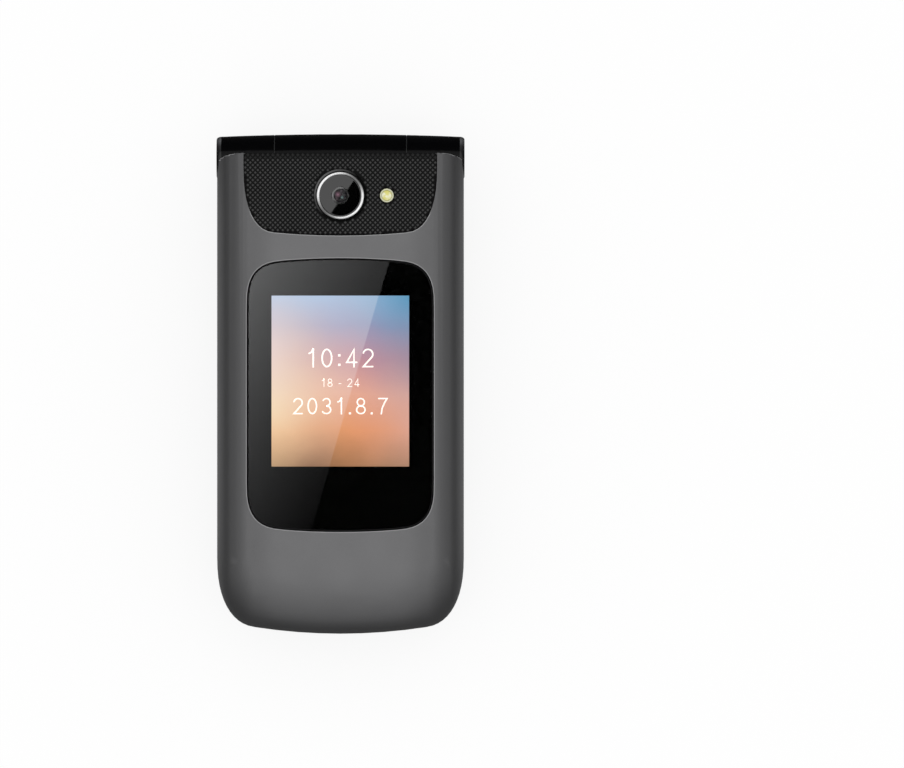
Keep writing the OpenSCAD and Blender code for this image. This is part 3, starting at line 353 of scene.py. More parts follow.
def dress(node, body, mats, width=0.1, angle=36.0, segments=2, choose=None, edge=-1, pick=None):
    """The CAD node with softened edges.

    choose(centre in mm) gives the index of a face's material, and edge is that of the softened edges.
    pick(middle in mm) gives each edge's share of the width; without it all edges over the angle are softened.
    """
    ob = new_object(node + "_skin", welded(node), body, mats, [node])
    if choose:
        for p in ob.data.polygons:
            p.material_index = choose(p.center / MM)
    if width:
        b = ob.modifiers.new("edges", "BEVEL")
        b.width = width * MM
        b.segments = segments
        b.limit_method = "ANGLE"
        b.angle_limit = math.radians(angle)
        b.miter_outer = "MITER_ARC"
        b.material = edge
        if pick:
            mark_edges(ob.data, math.radians(angle), pick)
            b.limit_method = "WEIGHT"
            b.use_clamp_overlap = False
    return settle(ob)


def paint_node(node, mat):
    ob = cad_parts[node]
    for s in ob.material_slots:
        s.material = mat
    if not ob.material_slots:
        ob.data.materials.append(mat)


def lathe(name, profile, cx, mat, replaces=(), segs=96):
    """A profile of (radius, depth) turned round the lid's depth axis through cx on the camera's line."""
    verts, rings = [], []
    for r, d in profile:
        if r < 1e-6:
            rings.append([len(verts)])
            verts.append(lid_point(cx, CAMERA_Y, d))
        else:
            rings.append(list(range(len(verts), len(verts) + segs)))
            for i in range(segs):
                a = 2 * math.pi * i / segs
                verts.append(lid_point(cx + r * math.cos(a), CAMERA_Y + r * math.sin(a), d))
    faces = []
    for a, b in zip(rings, rings[1:]):
        for i in range(segs):
            j = (i + 1) % segs
            if len(a) == 1:
                faces.append((a[0], b[i], b[j]))
            elif len(b) == 1:
                faces.append((a[i], b[0], a[j]))
            else:
                faces.append((a[i], b[i], b[j], a[j]))
    return settle(new_object(name, shell_of(name, verts, faces), "lid", mat, replaces), weighted=False)


def plate(name, loops, d0, d1, at, body, mat, bend=None):
    """A flat plate with the given outline loops (the first is the outside) between two depths."""
    bm = bmesh.new()
    rims = [[bm.verts.new((x, y, 0.0)) for x, y in loop] for loop in loops]
    edges = [bm.edges.new((vs[i], vs[(i + 1) % len(vs)])) for vs in rims for i in range(len(vs))]
    bmesh.ops.triangle_fill(bm, use_beauty=True, use_dissolve=False, edges=edges)
    bm.verts.index_update()
    # The second side is laid out here, since Blender's extrusion numbers it anew on each run
    outline = [(v.co.x, v.co.y) for v in bm.verts]
    n = len(outline)
    verts = [at(x, y, d + (bend(x, y) if bend else 0.0)) for d in (d0, d1) for x, y in outline]
    faces = [[v.index + side for v in f.verts] for side in (0, n) for f in bm.faces]
    faces += [(a.index, b.index, b.index + n, a.index + n) for a, b in (e.verts for e in edges)]
    bm.free()
    return new_object(name, shell_of(name, verts, faces), body, mat)


def arc(cx, cy, rx, ry, a0, a1, n):
    turns = [math.radians(a0 + (a1 - a0) * i / n) for i in range(n + 1)]
    return [(cx + rx * math.cos(a), cy + ry * math.sin(a)) for a in turns]


# Each sign's width and strokes, one unit high
SIX = [arc(0.3, 0.3, 0.235, 0.255, 0, 360, 32), arc(0.31, 0.5, 0.245, 0.455, 38, 180, 18) + [(0.065, 0.3)]]
SIGNS = {
    "0": (0.6, [arc(0.3, 0.5, 0.235, 0.455, 0, 360, 36)]),
    "1": (0.5, [[(0.1, 0.73), (0.24, 0.8), (0.33, 0.99)], [(0.33, 1.0), (0.33, 0.0)]]),
    "2": (0.6, [arc(0.3, 0.7, 0.235, 0.255, 172, -32, 18) + [(0.07, 0.045), (0.56, 0.045)]]),
    "3": (0.6, [arc(0.29, 0.73, 0.205, 0.225, 160, -88, 18), arc(0.29, 0.275, 0.24, 0.23, 88, -160, 18)]),
    "4": (0.6, [[(0.41, 0.0), (0.41, 0.95), (0.06, 0.27), (0.58, 0.27)]]),
    "5": (0.6, [[(0.51, 0.955), (0.15, 0.955), (0.09, 0.49)], arc(0.29, 0.31, 0.245, 0.265, 142, -158, 22)]),
    "6": (0.6, SIX),
    "7": (0.6, [[(0.05, 0.955), (0.55, 0.955), (0.4, 0.68), (0.28, 0.38), (0.22, 0.0)]]),
    "8": (0.6, [arc(0.3, 0.735, 0.2, 0.22, 0, 360, 28), arc(0.3, 0.275, 0.24, 0.23, 0, 360, 30)]),
    "9": (0.6, [[(0.6 - x, 1 - y) for x, y in path] for path in SIX]),
    ":": (0.22, [[(0.11, 0.08), (0.11, 0.2)], [(0.11, 0.58), (0.11, 0.7)]]),
    ".": (0.22, [[(0.11, 0.0), (0.11, 0.12)]]),
    "-": (0.4, [[(0.06, 0.4), (0.34, 0.4)]]),
    " ": (0.2, []),
    "*": (0.6, [[(0.3 + r * math.cos(a), 0.5 + r * math.sin(a)) for r in (0.3, -0.3)]
                for a in (math.pi / 2, math.pi / 6, -math.pi / 6)]),
    "#": (0.7, [[(0.2, 0.05), (0.3, 0.95)], [(0.42, 0.05), (0.52, 0.95)],
                [(0.04, 0.33), (0.64, 0.33)], [(0.08, 0.67), (0.68, 0.67)]]),
}
SIGN_GAP, SIGN_SQUASH, DOT_STROKE = 0.2, 0.93, 1.5


def ribbon(path, w, bm, place):
    """A flat stroke of width w along a path, mitred at its corners."""
    sharpest = 0.35
    closed = math.dist(path[0], path[-1]) < 1e-6
    pts = path[:-1] if closed else path
    n = len(pts)
    sides = []
    for i, (x, y) in enumerate(pts):
        x0, y0 = pts[i - 1] if (i or closed) else (2 * x - pts[1][0], 2 * y - pts[1][1])
        x1, y1 = pts[(i + 1) % n] if (i < n - 1 or closed) else (2 * x - pts[i - 1][0], 2 * y - pts[i - 1][1])
        a, b = math.hypot(x - x0, y - y0) or 1, math.hypot(x1 - x, y1 - y) or 1
        ux, uy, vx, vy = (x - x0) / a, (y - y0) / a, (x1 - x) / b, (y1 - y) / b
        nx, ny = -(uy + vy), ux + vx
        size = math.hypot(nx, ny) or 1
        k = w / 2 / max(sharpest, (nx * -uy + ny * ux) / size) / size
        sides.append([bm.verts.new(place(x + s * nx * k, y + s * ny * k)) for s in (1, -1)])
    for i in range(n if closed else n - 1):
        (a, b), (c, d) = sides[i], sides[(i + 1) % n]
        bm.faces.new((a, b, d, c))


def letters(name, text, centre, depth, at, body, mat, height=None, width=None, bend=None, stroke=0.08):
    """Generic digits and signs drawn with strokes round a centre, made that high or that wide."""
    total = sum(SIGNS[c][0] for c in text) + SIGN_GAP * (len(text) - 1)
    k = height or width / total
    bm = bmesh.new()
    x0 = -total / 2
    for c in text:
        for path in SIGNS[c][1]:
            def place(x, y, x0=x0):
                px, py = centre[0] + (x0 + x) * k, centre[1] + (y - 0.5) * k * SIGN_SQUASH
                return at(px, py, depth + (bend(px, py) if bend else 0.0))

            ribbon(path, stroke * (DOT_STROKE if c in ":." else 1), bm, place)
        x0 += SIGNS[c][0] + SIGN_GAP
    return new_object(name, mesh_from(bm, name), body, mat)


def seam_ring(name, x0, x1, segs=96):
    """A flat ring round the hinge axis that shows in the seam between two knuckles."""
    inner, outer = 1.5, 4.8
    profile = [(inner, x0), (outer, x0), (outer, x1), (inner, x1)]
    verts = [lid_point(x, r * math.cos(2 * math.pi * i / segs), r * math.sin(2 * math.pi * i / segs))
             for r, x in profile for i in range(segs)]
    n = len(profile)
    faces = [(j * segs + i, j * segs + (i + 1) % segs, (j + 1) % n * segs + (i + 1) % segs, (j + 1) % n * segs + i)
             for j in range(n) for i in range(segs)]
    return settle(new_object(name, mesh_of(name, verts, faces), "lid", SEAM), weighted=False)


def superellipse(w, lo, hi, corner, radius, p, n, m):
    """Outline of half width w from y = lo to y = hi, its corners of power p and its ends bowed to the radius.

    n and m are the steps of a corner and of an end.
    """
    cx, cy = corner

    def bow(x):
        return x * x / (2 * radius) if radius else 0.0

    pts = []
    for end, inward, sides in ((hi, -1, (1, -1)), (lo, 1, (-1, 1))):
        for first, s in ((True, sides[0]), (False, sides[1])):
            for i in range(n + 1) if first else range(n, -1, -1):
                a = math.pi / 2 * i / n
                x = w - cx + cx * math.cos(a) ** (2 / p)
                pts.append((s * x, end + inward * (cy - cy * math.sin(a) ** (2 / p) + bow(x))))
            if first and (end == lo or radius):
                for i in range(1, m):
                    x = s * (w - cx) * (1 - 2 * i / m)
                    pts.append((x, end + inward * bow(x)))
    return pts


def rectangle(cx, cy, w, h, r=0.0, n=6):
    if not r:
        return [(cx + sx * w / 2, cy + sy * h / 2) for sx, sy in ((-1, -1), (1, -1), (1, 1), (-1, 1))]
    pts = []
    for sx, sy, a0 in ((1, 1, 0), (-1, 1, 90), (-1, -1, 180), (1, -1, 270)):
        for i in range(n + 1):
            a = math.radians(a0 + 90 * i / n)
            pts.append((cx + sx * (w / 2 - r) + r * math.cos(a), cy + sy * (h / 2 - r) + r * math.sin(a)))
    return pts


# ---------- housings and frames ----------
BARREL_R, BARREL_ROUND, BARREL_HALF = 5.2, 24.9, 26.1   # its reach, where its rounded ends begin, and its half length


def greys(stops):
    return [(at, (level, level, level, 1)) for at, level in stops]


def painted_barrel_end_highlight():
    """Black of the barrel's rounded ends, with a pale painted highlight on the outer side."""
    black, highlight = srgb(6, 6, 7), srgb(92, 92, 94)
    m = finish("barrel_end_painted_highlight", black, 0.2, tint=0.1, smudge=0.04, specular=0.4)
    n = Nodes(m)
    # The pale patch is a painted highlight, strongest part way up the end and just inside its outer rim
    along = n.ramp(n.range(n.axis("Y"), HINGE_Y * MM, (HINGE_Y + 5.0) * MM, 0.0, 1.0),
                   greys([(0.1, 0), (0.5, 0.3), (0.72, 1), (0.95, 0.3)]))
    across = n.ramp(n.range(n.math("ABSOLUTE", n.axis("X")), BARREL_ROUND * MM, BARREL_HALF * MM, 0.0, 1.0),
                    greys([(0.0, 0), (0.3, 1), (0.75, 0.45)]))
    n.paint(n.mix(n.math("MULTIPLY", along, across), black, highlight))
    return m


BARREL_END_HIGHLIGHT = painted_barrel_end_highlight()


def barrel_face(c):
    """1 for a face of the hinge barrel, 2 for its rounded ends, 0 elsewhere on a frame."""
    y, z = c[1] - HINGE_Y, c[2] - PART_Z
    if math.hypot(y, z) > BARREL_R or y < -BARREL_R:
        return 0
    return 2 if abs(c[0]) > BARREL_ROUND else 1


def lid_rims(c):
    """Share of the bevel for the lid's head corners and the borders of its window and panel, which carry a painted
    highlight.
    """
    x, y, d = abs(c[0]), c[1] - HINGE_Y, c[2] - PART_Z
    head = y > -0.8 and d > 4 and x > 21.3
    window = WINDOW_FAR - 0.9 < y < WINDOW_NEAR + 0.9
    panel = -17 < y < -11 and x < 19.7
    if head:
        return 0.45
    return 1.0 if d > LID_T - 0.1 and (window or panel) else 0.0


dress("lid_housing", "lid", [PAINT, EDGE_HIGHLIGHT], 0.16, edge=1, pick=lid_rims)
dress("base_housing", "base", PAINT, 0.1)
dress("battery_cover", "battery_cover", PAINT, 0.1)
dress("lid_frame", "lid", [FRAME, BARREL, BARREL_END_HIGHLIGHT], 0.09, choose=barrel_face)
dress("base_frame", "base", [FRAME, BARREL, BARREL_END_HIGHLIGHT], 0.09, choose=barrel_face)
dress("hinge_caps", "base", GLOSS, 0.28, segments=3)
for side, s in (("left", -1), ("right", 1)):
    seam_ring("hinge_seam_ring_" + side, s * 13.81, s * 13.99)
dress("volume_key", "volume_key", GLOSS, 0.3, segments=3)
dress("lid_bumpers", "lid", RUBBER, 0.08)
dress("headset_jack", "base", MOULDED, 0.08)
dress("usb_port", "base", STEEL, 0.05)

# ---------- textured camera panel ----------
CAMERA_Y, FLASH_X = -7.96, 9.77
PANEL_D, PANEL_HALF_W, PANEL_FAR = 8.7, 20.3, -16.35
dress("camera_panel", "lid", PANEL, 0.06)


def on_panel(x, y):
    """Whether a nub has room here: inside the panel's outline, and clear of the camera and the flash."""
    margin, top, power = 0.32, 0.6, 2.4
    corner_w, corner_h = 6.5, 13
    far = PANEL_FAR + x * x / (2 * WINDOW_BOW)
    if abs(x) > PANEL_HALF_W - margin or y < far + margin or y > top:
        return False
    dx, dy = abs(x) - (PANEL_HALF_W - corner_w), far + corner_h - y
    if dx > 0 and dy > 0 and (dx / (corner_w - margin)) ** power + (dy / (corner_h - margin)) ** power > 1:
        return False
    return math.hypot(x, y - CAMERA_Y) > 5.75 and math.hypot(x - FLASH_X, y - CAMERA_Y) > 1.75


def nubs():
    """Low four-sided nubs in staggered rows, their tops with a paler painted highlight and their sides with a darker
    painted shade; the rows in the barrel's shade keep the dark colour on top as a painted shadow.
    """
    verts, faces = [], []
    step_x, step_y, low, high, rise = 1.05, 0.525, 0.44, 0.26, 0.14
    shade_y = HINGE_Y - 0.4
    for row in range(-34, 3):
        for col in range(-21, 22):
            x = (col + (0.5 if row % 2 else 0.0)) * step_x
            y = row * step_y
            if not on_panel(x, y):
                continue
            base = len(verts)
            for size, d in ((low, PANEL_D), (high, PANEL_D + rise)):
                for dx, dy in ((1, 0), (0, 1), (-1, 0), (0, -1)):
                    verts.append(lid_point(x + dx * size, y + dy * size, d))
            for i in range(4):
                j = (i + 1) % 4
                faces.append((base + i, base + j, base + 4 + j, base + 4 + i))
            faces.append((base + 4, base + 5, base + 6, base + 7))
    mesh = mesh_of("camera_panel_nubs", verts, faces)
    ob = new_object("camera_panel_nubs", mesh, "lid", [NUB_SHADED_SIDE, NUB_LIT_TOP])
    for p in ob.data.polygons:
        # Tops away from the barrel get the painted highlight; tops in the barrel's shade keep the painted shade as a
        # painted shadow
        p.material_index = 1 if p.index % 5 == 4 and p.center.y < shade_y * MM else 0


nubs()

# ---------- camera and flash ----------
RING_R, BORE_R, CLEAR_R = 4.95, 4.4, 1.86   # the silver ring, the bore in it, and the glass's clear middle
GLASS_D, SEAT_D = 8.55, 7.85                # the glass's outer face, and the depth that ring and glass stand on


def painted_light_by_direction(m, stops, across=0.0, up=0.0, diagonal=0.0):
    """Paints light and shade onto a round piece of the camera by the direction from its middle."""
    n = Nodes(m)
    x, y = n.axis("X"), n.math("SUBTRACT", n.axis("Y"), (HINGE_Y + CAMERA_Y) * MM)
    r2 = n.squares(x, y)
    toward = n.math("ADD", n.math("MULTIPLY", x, across), n.math("MULTIPLY", y, up))
    side = n.math("DIVIDE", toward, n.math("SQRT", r2))
    slant = n.math("DIVIDE", n.math("MULTIPLY", n.math("MULTIPLY", x, y), diagonal * 2), r2)
    t = n.range(n.math("ADD", side, slant), -1.0, 1.0, 0.0, 1.0)
    n.paint(n.ramp(t, [(at, srgb(grey)) for at, grey in stops]))
    return m


# The silver ring's colour is a painted reflection: pale on the upper-left and lower-right quarters, darker on the
# other two
lathe("camera_bezel", [(RING_R, SEAT_D), (RING_R, 8.84), (4.93, 8.9), (4.8, 8.95), (4.67, 8.98), (4.54, 8.95),
                       (4.42, 8.9), (BORE_R, 8.84), (BORE_R, SEAT_D), (RING_R, SEAT_D)], 0,
      painted_light_by_direction(finish("camera_ring_silver_painted_reflection", srgb(225), 0.14, metallic=1.0, smudge=0.05),
                   [(0.0, 236), (0.55, 228), (0.8, 160), (1.0, 104)], diagonal=1.0),
      ["camera_ring"], 128)
# The collar is painted with a highlight on its upper-left side and a painted shadow of the ring on its lower-right
# side
lathe("camera_collar", [(5.13, 8.66), (5.17, 8.8), (5.25, 8.84), (5.4, 8.8), (5.52, 8.71), (5.56, 8.66),
                        (5.13, 8.66)], 0,
      painted_light_by_direction(finish("camera_collar", srgb(20), 0.4, smudge=0.05, specular=0.05),
                   [(0.0, 4), (0.5, 8), (0.85, 74), (1.0, 96)], across=-0.75, up=0.66))
# The camera's glass: its printed border shows as black gloss, the clear middle lies over the lens
lathe("camera_glass_border", [(CLEAR_R, SEAT_D), (CLEAR_R, GLASS_D), (4.2, GLASS_D), (4.3, GLASS_D), (4.36, 8.52),
                              (4.38, 8.45), (4.38, SEAT_D), (CLEAR_R, SEAT_D)], 0,
      finish("black_glass", srgb(3), 0.01, smudge=0.008, specular=0.95),
      ["camera_window"])
lathe("camera_glass_middle", [(0.0, GLASS_D), (CLEAR_R, GLASS_D), (CLEAR_R, 8.0), (0.0, 8.0)], 0,
      finish("coated_clear_glass", srgb(250), 0.005, tint=0.002, smudge=0.004, transmission=1.0, ior=1.03))
# The lens ring carries a painted highlight on its upper-left side and painted shade on its lower-right side
lathe("camera_lens_ring", [(1.84, 7.76), (1.84, 7.82), (1.8, 7.84), (1.5, 7.84), (1.44, 7.8), (1.4, 7.7), (1.4, 7.66),
                           (1.84, 7.76)], 0,
      painted_light_by_direction(finish("lens_ring_painted_light", srgb(80), 0.4, smudge=0.05, specular=0.1),
                   [(0.0, 70), (0.4, 84), (0.75, 168), (1.0, 186)], across=-0.85, up=0.5))


def coated_lens():
    """Dark lens with painted violet and teal reflections of its coating."""
    color = srgb(12, 9, 14)
    m = finish("coated_lens", color, 0.06, tint=0.1, smudge=0.02, specular=0.3)
    n = Nodes(m)
    # Soft coloured spots in the base colour: painted reflections of the coating
    for x, y, reach, tone in ((-0.5, 0.2, 0.9, srgb(176, 128, 150)), (0.35, -0.4, 0.5, srgb(160, 190, 190)),
                              (-0.75, -0.75, 0.6, srgb(110, 92, 100)), (0.2, 0.95, 0.5, srgb(96, 84, 92))):
        dx = n.math("SUBTRACT", n.axis("X"), x * MM)
        dy = n.math("SUBTRACT", n.axis("Y"), (HINGE_Y + CAMERA_Y + y) * MM)
        near = n.range(n.math("SQRT", n.squares(dx, dy)), 0.0, reach * MM, 1.0, 0.0)
        color = n.mix(n.math("MULTIPLY", near, near), color, tone)
    n.paint(color)
    return m


lathe("camera_lens", [(1.39, 7.5), (1.39, 7.62), (1.2, 7.68), (0.9, 7.73), (0.5, 7.77), (0.0, 7.79)], 0,
      coated_lens(), segs=64)

PHOSPHOR = finish("yellow_phosphor", srgb(234, 228, 160), 0.3, tint=0.25, tint_scale=2200, smudge=0.08,
                  coat=0.3, coat_rough=0.04)
blotches = Nodes(PHOSPHOR)
blotches.paint(blotches.ramp(blotches.noise(900.0, 2.0), [(0.42, srgb(214, 208, 116)), (0.6, srgb(232, 232, 204))]))
FLASH_RIM = finish("flash_rim", srgb(196, 196, 164), 0.18, tint=0.08, tint_scale=900, smudge=0.05,
                   coat=0.8, coat_rough=0.05)
lathe("flash_rim", [(1.45, 7.15), (1.45, 8.68), (1.38, 8.76), (1.2, 8.78), (1.1, 8.7), (1.1, 7.15), (1.45, 7.15)],
      FLASH_X, FLASH_RIM, ["flash_lens"], 64)
lathe("flash_emitter", [(1.08, 7.2), (1.08, 8.6), (0.95, 8.7), (0.7, 8.78), (0.35, 8.83), (0.0, 8.85)],
      FLASH_X, PHOSPHOR, segs=48)

# ---------- outer window and its picture ----------
WINDOW_D = LID_T - 0.8                      # the inner face of the glass
PICTURE_Y = (WINDOW_NEAR + WINDOW_FAR) / 2 + 2.95
PICTURE_W, PICTURE_H = 28.9, 35.9
PRINT_T, BEHIND = 0.015, 0.03               # thickness of prints and pictures, and the step from one to the next


def window_loop(inset):
    return superellipse(WINDOW_HALF_W - inset, WINDOW_FAR + inset, WINDOW_NEAR - inset, (8 - inset, 9 - inset),
                        WINDOW_BOW, 3, 20, 16)


# The glass's bevel takes the near-black edge colour, a painted shade round the window
dress("outer_window", "lid", [GLASS, GLASS_EDGE_SHADE], 0.34, segments=3, edge=1)
plate("outer_window_print", [window_loop(0.05), rectangle(0, PICTURE_Y, PICTURE_W, PICTURE_H)],
      WINDOW_D - BEHIND, WINDOW_D - BEHIND + PRINT_T, lid_point, "lid", PRINT)


def picture(name, cy, w, h, sky, glows, level, painted_sheen=None):
    """Emissive screen with a sky of its own.

    sky holds colours from bottom to top, with faint clouds; glows are (u, v, reach, share, colour).
    A painted reflection lies left of the slanted line (x, y, lean): white mixed in, its share growing from the bottom
    up.
    """
    m, n = new_material(name)
    shader = n.shader
    u = n.range(n.axis("X"), -w / 2 * MM, w / 2 * MM, 0.0, 1.0)
    v = n.range(n.axis("Y"), (HINGE_Y + cy - h / 2) * MM, (HINGE_Y + cy + h / 2) * MM, 0.0, 1.0)
    v = n.math("ADD", v, n.range(n.noise(70.0, 4.0, 0.55), 0.3, 0.7, -0.03, 0.03))
    paint = n.ramp(v, sky)
    for u0, v0, reach, share, color in glows:
        off = n.squares(n.math("SUBTRACT", u, u0), n.math("SUBTRACT", v, v0))
        near = n.range(n.math("SQRT", off), 0.0, reach, 1.0, 0.0)
        paint = n.mix(n.math("MULTIPLY", n.math("MULTIPLY", near, near), share), paint, color)
    if painted_sheen:
        x, y, lean, low, high = painted_sheen
        line, soft = x - lean * (HINGE_Y + y), 0.1
        over = n.math("SUBTRACT", n.axis("X"), n.math("MULTIPLY", n.axis("Y"), lean))
        sheen_side = n.range(over, (line - soft) * MM, (line + soft) * MM, 1.0, 0.0)
        paint = n.mix(n.math("MULTIPLY", sheen_side, n.range(v, 0.0, 0.45, low, high)), paint, (1, 1, 1, 1))
    n.link(paint, shader.inputs["Emission Color"])
    shader.inputs["Emission Strength"].default_value = level
    shader.inputs["Base Color"].default_value = srgb(8)
    shader.inputs["Specular IOR Level"].default_value = 0.02
    n.link(n.range(n.noise(300.0), 0.3, 0.7, 0.3, 0.4), shader.inputs["Roughness"])
    m.cycles.emission_sampling = "NONE"
    return m


def display_texts(rows, depth, at):
    for name, text, width, y in rows:
        letters(name, text, (0, y), depth, at, "lid", WHITE_LIGHT, width=width)


# The outer picture carries a painted reflection: white mixed in left of a slanted line, where the glass mirrors the
# gloss card's edge
OUTER_SKY = picture(
    "outer_picture", PICTURE_Y, PICTURE_W, PICTURE_H,
    [(0.0, srgb(174, 126, 88)), (0.2, srgb(238, 158, 110)), (0.42, srgb(240, 176, 152)), (0.62, srgb(206, 152, 160)),
     (0.82, srgb(168, 162, 192)), (1.0, srgb(164, 190, 222))],
    [(-0.05, 0.38, 0.8, 1.0, srgb(255, 224, 164)), (-0.1, 0.66, 0.6, 0.8, srgb(242, 218, 214)),
     (1.05, 1.05, 0.75, 1.0, srgb(76, 152, 188)), (1.05, 0.6, 0.5, 0.6, srgb(136, 140, 162)),
     (1.05, 0.22, 0.6, 0.5, srgb(222, 186, 184)), (0.3, -0.15, 0.5, 0.9, srgb(96, 40, 24))],
    1.0, (8.04, -28.98, 0.288, 0.04, 0.15))
WHITE_LIGHT = finish("screen_white", srgb(255, 244, 232), 0.4, tint=0.01, smudge=0.02, emission=1.0)
WHITE_LIGHT.cycles.emission_sampling = "NONE"
plate("outer_picture", [rectangle(0, PICTURE_Y, PICTURE_W + 1, PICTURE_H + 1)],
      WINDOW_D - 2 * BEHIND, WINDOW_D - 2 * BEHIND + PRINT_T, lid_point, "lid", OUTER_SKY)
display_texts([("outer_clock", "10:42", 14.2, -42.1), ("outer_small_digits", "18 - 24", 8.1, -47.3),
               ("outer_date", "2031.8.7", 20.0, -52.2)], WINDOW_D - 0.036, lid_point)

# ---------- inner window and its picture ----------
INNER_NEAR, INNER_FAR, INNER_HALF_W = -17.5, -85.5, 22.5
INNER_PICTURE_Y = (INNER_NEAR + INNER_FAR) / 2 + 1
INNER_W, INNER_H = 36.7, 49.0
INNER_D = FACE_D + 0.8                      # the inner face of the glass
dress("inner_window", "lid", [GLASS, GLASS_EDGE_SHADE], 0.2, segments=3, edge=1)
plate("inner_window_print",
      [superellipse(INNER_HALF_W - 0.05, INNER_FAR + 0.05, INNER_NEAR - 0.05, (3, 3), 0, 2, 8, 2),
       rectangle(0, INNER_PICTURE_Y, INNER_W, INNER_H)],
      INNER_D + BEHIND - PRINT_T, INNER_D + BEHIND, lid_point, "lid", PRINT)
INNER_SKY = picture(
    "inner_picture", INNER_PICTURE_Y, INNER_W, INNER_H,
    [(0.0, srgb(16, 38, 76)), (0.33, srgb(34, 76, 128)), (0.65, srgb(78, 132, 178)), (1.0, srgb(156, 198, 220))],
    [(0.75, 0.8, 0.6, 0.5, srgb(214, 232, 236)), (0.1, 0.3, 0.5, 0.5, srgb(70, 60, 120))], 0.8)
plate("inner_picture", [rectangle(0, INNER_PICTURE_Y, INNER_W + 1, INNER_H + 1)],
      INNER_D + 2 * BEHIND - PRINT_T, INNER_D + 2 * BEHIND, lid_point, "lid", INNER_SKY)


def inner_point(x, y, d):
    """On the lid's inner face, where what reads upright when the phone is open is upside down when closed."""
    return lid_point(x, 2 * INNER_PICTURE_Y - y, d)


display_texts([("inner_clock", "10:42", 24.0, INNER_PICTURE_Y + 8),
               ("inner_date", "2031.8.7", 18.0, INNER_PICTURE_Y - 3)], INNER_D + 0.038, inner_point)

# ---------- keys ----------
KEY_TOP, KEY_CROWN = 0.3, 90.0              # depth of the keys' tops, and the radius that they are hollowed to
OK_RISE = 0.14
PITCH_X, PITCH_Y, ROW_1 = 15.0, 11.0, 48.0
SIGN_T, SIGN_SUNK = 0.01, 0.012


def dish(cx):
    """Depth of a key's hollow top under its rim, for a sign that lies on it."""
    return lambda x, y: KEY_CROWN - math.sqrt(KEY_CROWN ** 2 - (x - cx) ** 2)


for row, names in enumerate((("key_1", "key_2", "key_3"), ("key_4", "key_5", "key_6"),
                             ("key_7", "key_8", "key_9"), ("key_star", "key_0", "key_hash"))):
    for col, key in enumerate(names):
        cx, cy = (col - 1) * PITCH_X, -ROW_1 - row * PITCH_Y
        dress(key, key, KEY, 0.16, segments=3)
        sign = {"key_star": "*", "key_hash": "#"}.get(key, key[-1])
        letters(key + "_sign", sign, (cx, cy), KEY_TOP - SIGN_SUNK, base_point, key, LEGEND,
                height=4.0, bend=dish(cx), stroke=0.13)

NAV_Y, NAV_MID = -28.0, 7.75
for i, key in enumerate(("nav_right", "nav_up", "nav_left", "nav_down")):
    dress(key, key, KEY, 0.14, segments=3)
    a = math.radians(90 * i)
    c, s = math.cos(a), math.sin(a)
    tri = [(NAV_MID + 0.95, 0.0), (NAV_MID - 0.35, 0.95), (NAV_MID - 0.35, -0.95)]
    plate(key + "_sign", [[(x * c - y * s, NAV_Y + x * s + y * c) for x, y in tri]],
          KEY_TOP - SIGN_SUNK, KEY_TOP - SIGN_SUNK + SIGN_T, base_point, key, LEGEND)

dress("ok_key", "ok_key", KEY, 0.16, segments=3)
plate("ok_key_sign", [rectangle(0, NAV_Y, 2.6, 2.6, 0.5), rectangle(0, NAV_Y, 1.9, 1.9, 0.3)],
      KEY_TOP + OK_RISE - SIGN_T, KEY_TOP + OK_RISE, base_point, "ok_key", LEGEND)


def handset(cx, cy, turned):
    """Outline of a telephone handset about 5.4 mm long."""
    pts = [(-2.7, -0.75), (-2.7, 0.2), (-1.9, 0.75), (-0.6, 1.0), (0.6, 1.0), (1.9, 0.75), (2.7, 0.2),
           (2.7, -0.75), (1.45, -0.75), (1.35, 0.0), (0.6, 0.15), (-0.6, 0.15), (-1.35, 0.0), (-1.45, -0.75)]
    a = math.radians(turned)
    return [(cx + x * math.cos(a) - y * math.sin(a), cy + x * math.sin(a) + y * math.cos(a)) for x, y in pts]


for key, sx, sy, mat, slot in (("soft_left", -1, 1, LEGEND, "key"), ("soft_right", 1, 1, LEGEND, "key"),
                               ("call_key", -1, -1, GREEN, "call_green"), ("end_key", 1, -1, RED, "end_red")):
    dress(key, key, KEY, 0.16, segments=3)
    cx, cy = sx * 16.8, NAV_Y + sy * 7.5
    loop = rectangle(cx, cy, 4.4, 0.7, 0.3) if sy > 0 else handset(cx, cy, 45 if sx < 0 else 0)
    plate(key + "_sign", [loop], KEY_TOP - 0.014, KEY_TOP - 0.002, base_point, key, mat, bend=dish(cx))


